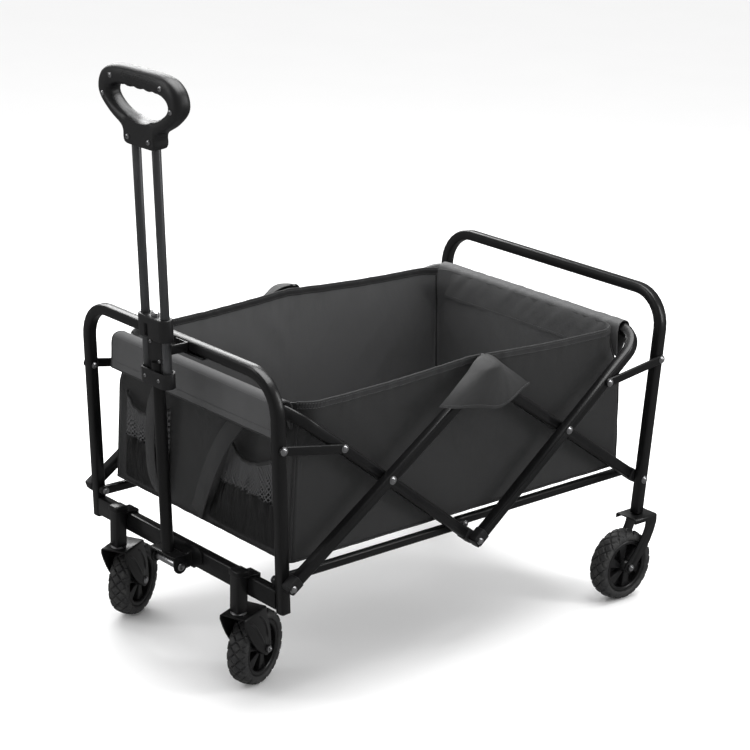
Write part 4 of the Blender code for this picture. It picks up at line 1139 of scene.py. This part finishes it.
for name, side in sides.items():
    foot = lambda t: pocket["foot"]
    seamAt = lambda t: pocket["net"] + 0.006 * math.sin(math.pi * t) + 0.002 * noiseAt(t * 6, 0, 4)
    rimAt = lambda t: pocket["rim"] - pocket["sag"] * math.sin(math.pi * t) ** 1.2
    wide = pocket["wide"][name]
    lower = pocketRows(side, foot, seamAt, 26, bulgeOver(0.08, 0.60), lambda v: 0.0006 + 0.0040 * v ** 1.3)
    upper = pocketRows(side, seamAt, rimAt, 20, bulgeOver(0.68, -0.10),
                       lambda v: 0.0046 * (1 - v) ** 1.3 + 0.0006)
    flatLow = lambda i, j: (wide * j / 80 * pocket["gather"], 0.0028 * i)
    flatUp = lambda i, j: (wide * j / 80 * pocket["gather"], 0.0037 * i)
    title = f"pocket{name.title()}"
    pouch = shell(lower, sheetNormals(lower), 0.0009, flatLow)
    pouchPiece = addPiece(f"{title}Cloth", pouch.placed(middle), "front_frame", "pouchCloth", "basket_fabric",
                          (f"pocket_{name}",), 70)
    netShape = Shape().grid(upper, flat=flatUp)
    netPiece = addPiece(f"{title}Net", netShape.placed(middle), "front_frame", "net", "pocket_mesh", (), 70,
                        loose=True)
    above = Vector((-0.0006, 0, 0))
    trim = sweep([p + above for p in upper[-1]], roundedBox(0.0019, 0.0024, 0.0012, 2))
    trim.add(sweep([p + above for p in upper[0]], circle(0.0008, 6)))
    addPiece(f"{title}Rim", trim.placed(middle), "front_frame", "webbing", "basket_fabric", (), 60)


# ---- webbing straps on the front wall ----
def strap(points, wide, thick=0.0015):
    line = [Vector(p) for p in smoothLine(points, 10)]
    length = lengthsAlong(line)
    outline = roundedBox(wide / 2, thick / 2, thick * 0.45, 2)
    rows = []
    for i, p in enumerate(line):
        ahead = aheadAt(line, i)
        side = ahead.cross(Vector((-1, 0, 0))).normalized()
        out = side.cross(ahead).normalized()
        if out.x > 0:
            out, side = -out, -side
        rows.append([p + side * u + out * (v + 0.0004 * math.cos(u / wide * 5)) for u, v in outline])
    flat = lambda i, j: (length[i], outline[j % len(outline)][0])
    return Shape().grid(rows, wrap=True, caps=True, flat=flat)


farStrap = strap([(-0.3710, 0.0895, 0.458), (-0.3745, 0.092, 0.436), (-0.3850, 0.0960, 0.40),
                  (-0.3875, 0.0985, 0.35), (-0.3850, 0.099, 0.30), (-0.3790, 0.098, 0.268),
                  (-0.3690, 0.097, 0.246)], 0.025)
nearStrap = strap([(-0.3710, -0.127, 0.456), (-0.3745, -0.117, 0.434), (-0.3860, -0.096, 0.396),
                   (-0.3880, -0.071, 0.352), (-0.3800, -0.038, 0.300), (-0.3700, -0.012, 0.262),
                   (-0.3650, 0.001, 0.243)], 0.031)
addPiece("frontStraps", farStrap.add(nearStrap).placed(middle), "front_frame", "webbing", "basket_fabric",
         (), 60)


# ---- hoods: cloth cones that cover the two top pivots ----
hood = {"left": -0.108, "right": 0.100, "sheet": 0.0012, "over": 0.34, "top": 0.5005, "seam": 0.2385}


def hoodRows(side):
    rows = []
    for i in range(31):
        r = i / 30
        row = []
        for j in range(61):
            a = 2 * j / 60 - 1
            endX = hood["left"] + (hood["right"] - hood["left"]) * (a + 1) / 2
            endZ = 0.4325 + 0.014 * abs(a) ** 2.2 - 0.010 * math.exp(-((a - 0.25) / 0.35) ** 2)
            endZ += (0.002 if a < 0 else -0.004) * abs(a)
            over = min(r / hood["over"], 1)
            hang = max(r - hood["over"], 0) / 0.66
            x = 0.020 * (1 - r) + endX * (0.04 + 0.96 * r)
            ridge = 0.4893 - 0.0060 * abs(a) ** 1.5
            z = ridge + (endZ - ridge) * hang
            if r < hood["over"]:
                z = hood["top"] - (hood["top"] - ridge) * (1 - math.cos(over * math.pi / 2))
            away = 0.2845 - 0.0120 * smooth((a - 0.45) / 0.5) * hang
            crown = 0.0032 * (1 - a * a) * math.sin(math.pi * min(hang * 1.1, 1) / 1.3)
            fold = 0.0016 * math.sin(7 * a + 1.2) * hang * (1 - a * a)
            fold += 0.0007 * noiseAt(a * 6, r * 3, side) * hang
            rim = abs(a) ** 2.2
            out = math.sin(over * math.pi / 2) * (1 - rim) + (0.12 + 0.88 * r) * rim
            y = hood["seam"] + (away - hood["seam"]) * out + crown + fold
            row.append(Vector((x, side * min(y, 0.2925), z)))
        rows.append(row if side < 0 else row[::-1])
    return rows


for name, side in sides.items():
    rows = hoodRows(side)
    flat = lambda i, j: (0.21 * j / 60, 0.066 * i / 30)
    made = shell(rows, sheetNormals(rows), hood["sheet"], flat)
    addPiece(f"hood{name.title()}", made.placed(middle), "front_frame", "canvas",
                               "basket_fabric", (f"side_flap_{name}",), 70)
    stitchLine(threads, [p + Vector((0, side * 0.0009, 0.0015)) for p in rows[-2]])
addPiece("stitches", threads.placed(middle), "front_frame", "thread", "basket_fabric", (), 60)
print("flaps, pockets and straps built")


softPieces = [o for o in bpy.data.objects if o.get("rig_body") == "front_frame" and o.type == "MESH"
              and o.get("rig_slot") in ("basket_fabric", "flap_fabric", "pocket_mesh")]
for piece in softPieces:
    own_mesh(piece)


# ---- pull handle: places are in its own frame, with +Z along the tube and -X to the front ----
hinge = Vector(joints["handle_hinge"]["pos_m"])
along = -Vector(joints["handle_telescope"]["axis"])
if along.z < 0:
    along = -along
handleTurn = Matrix((Vector((0, 1, 0)).cross(along), (0, 1, 0), along)).transposed().to_4x4()
onHandle = Matrix.Translation(hinge) @ handleTurn
grip = {"low": 0.679, "tall": 0.118, "wide": 0.104, "neck": 0.039, "bar": 0.0285, "thick": 0.030}


# cubic curves end to end, each as (pull at the start, pull at the end, end, steps)
def curved(start, parts):
    made = [start]
    for leave, arrive, last, steps in parts:
        first = made[-1]
        for t in np.linspace(0, 1, steps + 1)[1:]:
            s = 1 - t
            made.append(tuple(s ** 3 * a + 3 * s * s * t * b + 3 * s * t * t * c + t ** 3 * d
                              for a, b, c, d in zip(first, leave, arrive, last)))
    return made


def gripLines():
    low, top = grip["low"], grip["low"] + grip["tall"]
    wide, neck = grip["wide"], grip["neck"]
    shoulder = low + grip["tall"] * 0.22
    outer = curved((0, top), [
        ((0.040, top), (0.066, top), (0.080, top - 0.006), 14),
        ((0.096, top - 0.013), (wide, top - 0.024), (wide, top - 0.040), 12),
        ((wide, top - 0.054), (0.090, top - 0.064), (0.078, top - 0.073), 12),
        ((0.062, top - 0.085), (0.046, shoulder + 0.004), (0.0415, shoulder - 0.004), 12),
        ((neck, shoulder - 0.008), (neck, shoulder - 0.010), (neck, low + 0.010), 6),
        ((neck, low + 0.001), (neck - 0.003, low), (neck - 0.012, low), 6)])
    outer += [(x, low) for x in np.linspace(neck - 0.012, 0, 8)[1:]]
    innerTop, innerWide, innerLow = top - grip["bar"], wide - grip["bar"], shoulder + 0.014
    inner = curved((0, innerTop), [
        ((0.034, innerTop), (innerWide - 0.002, innerTop + 0.001), (innerWide, innerTop - 0.016), 30),
        ((innerWide + 0.001, innerTop - 0.032), (0.030, innerLow), (0, innerLow), 34)])
    outer, inner = resampled(outer, 60), resampled(inner, 60)
    # shallow waves for four fingers under the top bar
    waved = []
    for x, y in inner:
        if y > innerTop - 0.012 and x < 0.050:
            fade = smooth((0.050 - x) / 0.012)
            y -= 0.0022 * fade * (0.5 - 0.5 * math.cos(2 * math.pi * (x + 0.012) / 0.024))
        waved.append((x, y))
    return [closedLine(line) for line in (outer, waved)]


def resampled(line, count):
    length = lengthsAlong(line)
    wanted = np.linspace(0, length[-1], count)
    return list(zip(*(np.interp(wanted, length, values) for values in zip(*line))))


def closedLine(line):
    return line + [(-x, y) for x, y in reversed(line[1:-1])]


def gripHalf(front):
    outer, inner = gripLines()
    depth = grip["thick"] / 2
    rows = []
    # across the ring from the outer parting line over the crown to the inner parting line
    profile = [(0.0, 0.0006), (0.0, 0.10), (0.004, 0.30), (0.020, 0.52), (0.060, 0.72), (0.130, 0.86),
               (0.24, 0.95), (0.38, 0.992), (0.52, 1.0), (0.66, 0.985), (0.78, 0.93), (0.87, 0.83),
               (0.94, 0.68), (0.98, 0.48), (0.996, 0.26), (1.0, 0.10), (1.0, 0.0006)]
    for share, out in profile:
        row = []
        for (x0, y0), (x1, y1) in zip(outer, inner):
            neckShare = smooth((grip["low"] + 0.030 - y0) / 0.02)
            flatOut = out * (1 - neckShare) + min(out * 1.5, 0.94) * neckShare
            row.append((-front * depth * flatOut, x0 + (x1 - x0) * share, y0 + (y1 - y0) * share))
        rows.append(row)
    rows.append([(-front * 0.0002, x, y) for x, y in inner])
    rows.append([(-front * 0.0002, x, y) for x, y in outer])
    rows.append(rows[0])
    return Shape().grid([r if front > 0 else r[::-1] for r in rows], wrap=True)


for end, front in (("front", 1), ("rear", -1)):
    addPiece(f"grip{end.title()}", gripHalf(front).placed(onHandle), "handle_slide", "plastic", "plastic_black",
             (f"grip_{end}_shell",), 60)

# textured pad on the grip's top bar, made of fine domes
pad = Shape()
for i in range(13):
    for j in range(6):
        y = (i - 6) * 0.0062 + (0.0031 if j % 2 else 0)
        z = grip["low"] + grip["tall"] - 0.0066 - j * 0.0030
        if abs(y) < 0.040:
            dome = lathe([(0.0001, 0.0010), (0.0007, 0.0008), (0.0011, 0.0003), (0.0012, -0.0012),
                          (0.0001, -0.0012)], 8)
            x = -grip["thick"] / 2 * (0.985 - 0.35 * abs((j - 2.4) / 4.6) ** 2.6) + 0.0002
            pad.add(dome, facing((x, y, z), (-1, 0, 0)))
addPiece("gripPad", pad.placed(onHandle), "handle_slide", "plastic", "plastic_black", (), 60)


# a pan-head screw with a cross recess drawn as a flat dark cross laid on the crown: painted shade, not a hollow
def screwHead(radius=0.0036, rise=0.0019):
    shape = lathe([(0.0001, -0.0008), (radius, -0.0008), (radius, rise * 0.25), (radius * 0.93, rise * 0.62),
                   (radius * 0.72, rise * 0.92), (radius * 0.42, rise), (0.0001, rise)], 24)
    long, wide = radius * 0.55, radius * 0.13
    for turn in (0, 90):
        bar = [(-long, -wide), (long, -wide), (long, wide), (-long, wide)]
        # each bar of the cross is dark metal raised just over the crown: painted shade where the recess would
        # be
        cut = slab(bar, rise * 0.6, rise + 0.0001, 0.0001)
        shape.add(cut, Matrix.Rotation(math.radians(turn + 20), 4, "Z"), 1)
    return shape


gripScrews = Shape()
for y, z in ((0.064, 0.779), (0.0875, 0.748), (0.027, 0.692)):
    for side in (1, -1):
        gripScrews.add(screwHead(0.0042, 0.0022),
                       facing((-grip["thick"] / 2 * 0.965, side * y, z), (-1, 0, 0)))
# the second material paints shade into the cross recesses
addPiece("gripScrews", gripScrews.placed(onHandle), "handle_slide", ["zinc", "recessShade"], "bolt_silver")


def heightOnHandle(node):
    return sum((onHandle.inverted() @ Vector(corner)).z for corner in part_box(node)) / 2


collarScrews = Shape()
lowerZ, plateZ = heightOnHandle("handle_lower_collar"), heightOnHandle("handle_plate")
for y, z, x in ((0.018, lowerZ, -0.0125), (-0.018, lowerZ, -0.0125), (0.011, plateZ + 0.012, -0.0040),
                (-0.011, plateZ - 0.016, -0.0040)):
    collarScrews.add(screwHead(0.0032), facing((x, y, z), (-1, 0, 0)))
# the second material paints shade into the cross recesses
addPiece("handleScrews", collarScrews.placed(onHandle), "handle", ["zinc", "recessShade"], "bolt_silver")


# ---- caster and fork details ----
def ribOn(outline, y, out, width=0.0052, rise=0.0015):
    line = [Vector((x, y, z)) for x, z in smoothLine(outline, 8)]
    crown = ((-1, -0.25), (-0.8, 0.4), (-0.45, 0.85), (0, 1), (0.45, 0.85), (0.8, 0.4), (1, -0.25))
    rows = []
    for i, p in enumerate(line):
        side = aheadAt(line, i).cross(Vector((0, 1, 0)))
        end = min(i, len(line) - 1 - i) / 5
        w = width / 2 * math.sqrt(min(end + 0.12, 1))
        rows.append([p + side * w * u + Vector((0, out * rise * v * min(end + 0.1, 1), 0))
                     for u, v in crown])
    return Shape().grid(rows, wrap=True, caps=True)


ribLines = ([(-0.006, 0.1275), (0.010, 0.116), (0.027, 0.094), (0.041, 0.074)],
            [(0.024, 0.1280), (0.037, 0.117), (0.0475, 0.099), (0.0525, 0.080)])
for side in sides:
    spin = Vector(joints[f"caster_swivel_{side}"]["pos_m"])
    wheelAt = centreOf(f"front_tyre_{side}")
    trail = Vector((wheelAt.x - spin.x, wheelAt.y - spin.y, 0))
    swivel = Matrix.Translation((spin.x, spin.y, 0)) @ Matrix.Rotation(math.atan2(trail.y, trail.x), 4, "Z")
    ribs = Shape()
    for out in (1, -1):
        for line in ribLines:
            ribs.add(ribOn(line, out * 0.0235, out))
    addPiece(f"casterRibs{side.title()}", ribs.placed(swivel), f"caster_{side}", "powderCoat", "frame_black",
             (), 60)
    race = lathe([(0.0097, 0.1378), (0.0122, 0.1378), (0.0128, 0.1383), (0.0128, 0.1392), (0.0120, 0.1398),
                  (0.0120, 0.1402), (0.0112, 0.1406), (0.0097, 0.1406)], 36, closed=True)
    race.placed(Matrix.Translation((spin.x, spin.y, 0)))
    addPiece(f"casterRace{side.title()}", race, f"caster_{side}", "zinc", "bolt_silver")
print("handle and casters built")


# ---- floor, light and camera ----
floorSize = 14.0
floorRows = [[(floorSize * (i / 8 - 0.5), floorSize * (j / 8 - 0.5), -0.0004) for i in range(9)]
             for j in range(9)]
floor = finishMesh("floor", Shape().grid(floorRows), ["paper"])
floor.visible_glossy = False


def areaLight(name, at, target, size, power):
    light = bpy.data.lights.new(name, "AREA")
    light.shape = "RECTANGLE"
    light.size, light.size_y = size
    light.energy = power
    made = bpy.data.objects.new(name, light)
    made.location = at
    made.rotation_euler = (Vector(target) - Vector(at)).to_track_quat("-Z", "Y").to_euler()
    bpy.context.scene.collection.objects.link(made)


target = (0, 0, 0.4)
areaLight("topSoftbox", (0.35, 0.1, 2.5), target, (2.0, 1.6), 66)
areaLight("leftStrip", (-2.0, 1.3, 1.6), target, (0.4, 1.8), 9)
areaLight("rightStrip", (1.7, -2.2, 1.5), target, (0.5, 1.8), 22)
areaLight("backStrip", (0.9, 2.4, 1.7), target, (2.2, 0.8), 42)
world = bpy.data.worlds.new("studio")
world.use_nodes = True
sky = world.node_tree.nodes["Background"]
sky.inputs["Color"].default_value = (1, 1, 1, 1)
# reflections see a dimmer room, so that the blacks stay deep between the softboxes' highlights
rays = world.node_tree.nodes.new("ShaderNodeLightPath")
glossy = Socket(world.node_tree, rays.outputs["Is Glossy Ray"])
world.node_tree.links.new((glossy * -0.82 + 1.0).out, sky.inputs["Strength"])
bpy.context.scene.world = world
bpy.context.scene.view_settings.view_transform = "Standard"

camera = {"azimuth": -40.925, "elevation": 18.381, "roll": 1.6145, "lens": 106.16,
          "place": (-2.31046, -2.66991, 1.57668)}
turn, rise, roll = (math.radians(camera[k]) for k in ("azimuth", "elevation", "roll"))
ahead = Vector((-math.sin(turn) * math.cos(rise), math.cos(turn) * math.cos(rise), -math.sin(rise)))
right = Vector((math.cos(turn), math.sin(turn), 0))
up = right.cross(ahead)
rolledRight = right * math.cos(roll) + up * math.sin(roll)
rolledUp = up * math.cos(roll) - right * math.sin(roll)
lens = bpy.data.cameras.new("camera")
lens.lens = camera["lens"]
lens.sensor_width = 36
eye = bpy.data.objects.new("camera", lens)
eye.matrix_world = Matrix.Translation(Vector(camera["place"]) + Vector((middleX, 0, 0))) @ Matrix(
    (rolledRight, rolledUp, -ahead)).transposed().to_4x4()
bpy.context.scene.collection.objects.link(eye)
bpy.context.scene.camera = eye

bpy.context.view_layer.update()
print("scene ready")
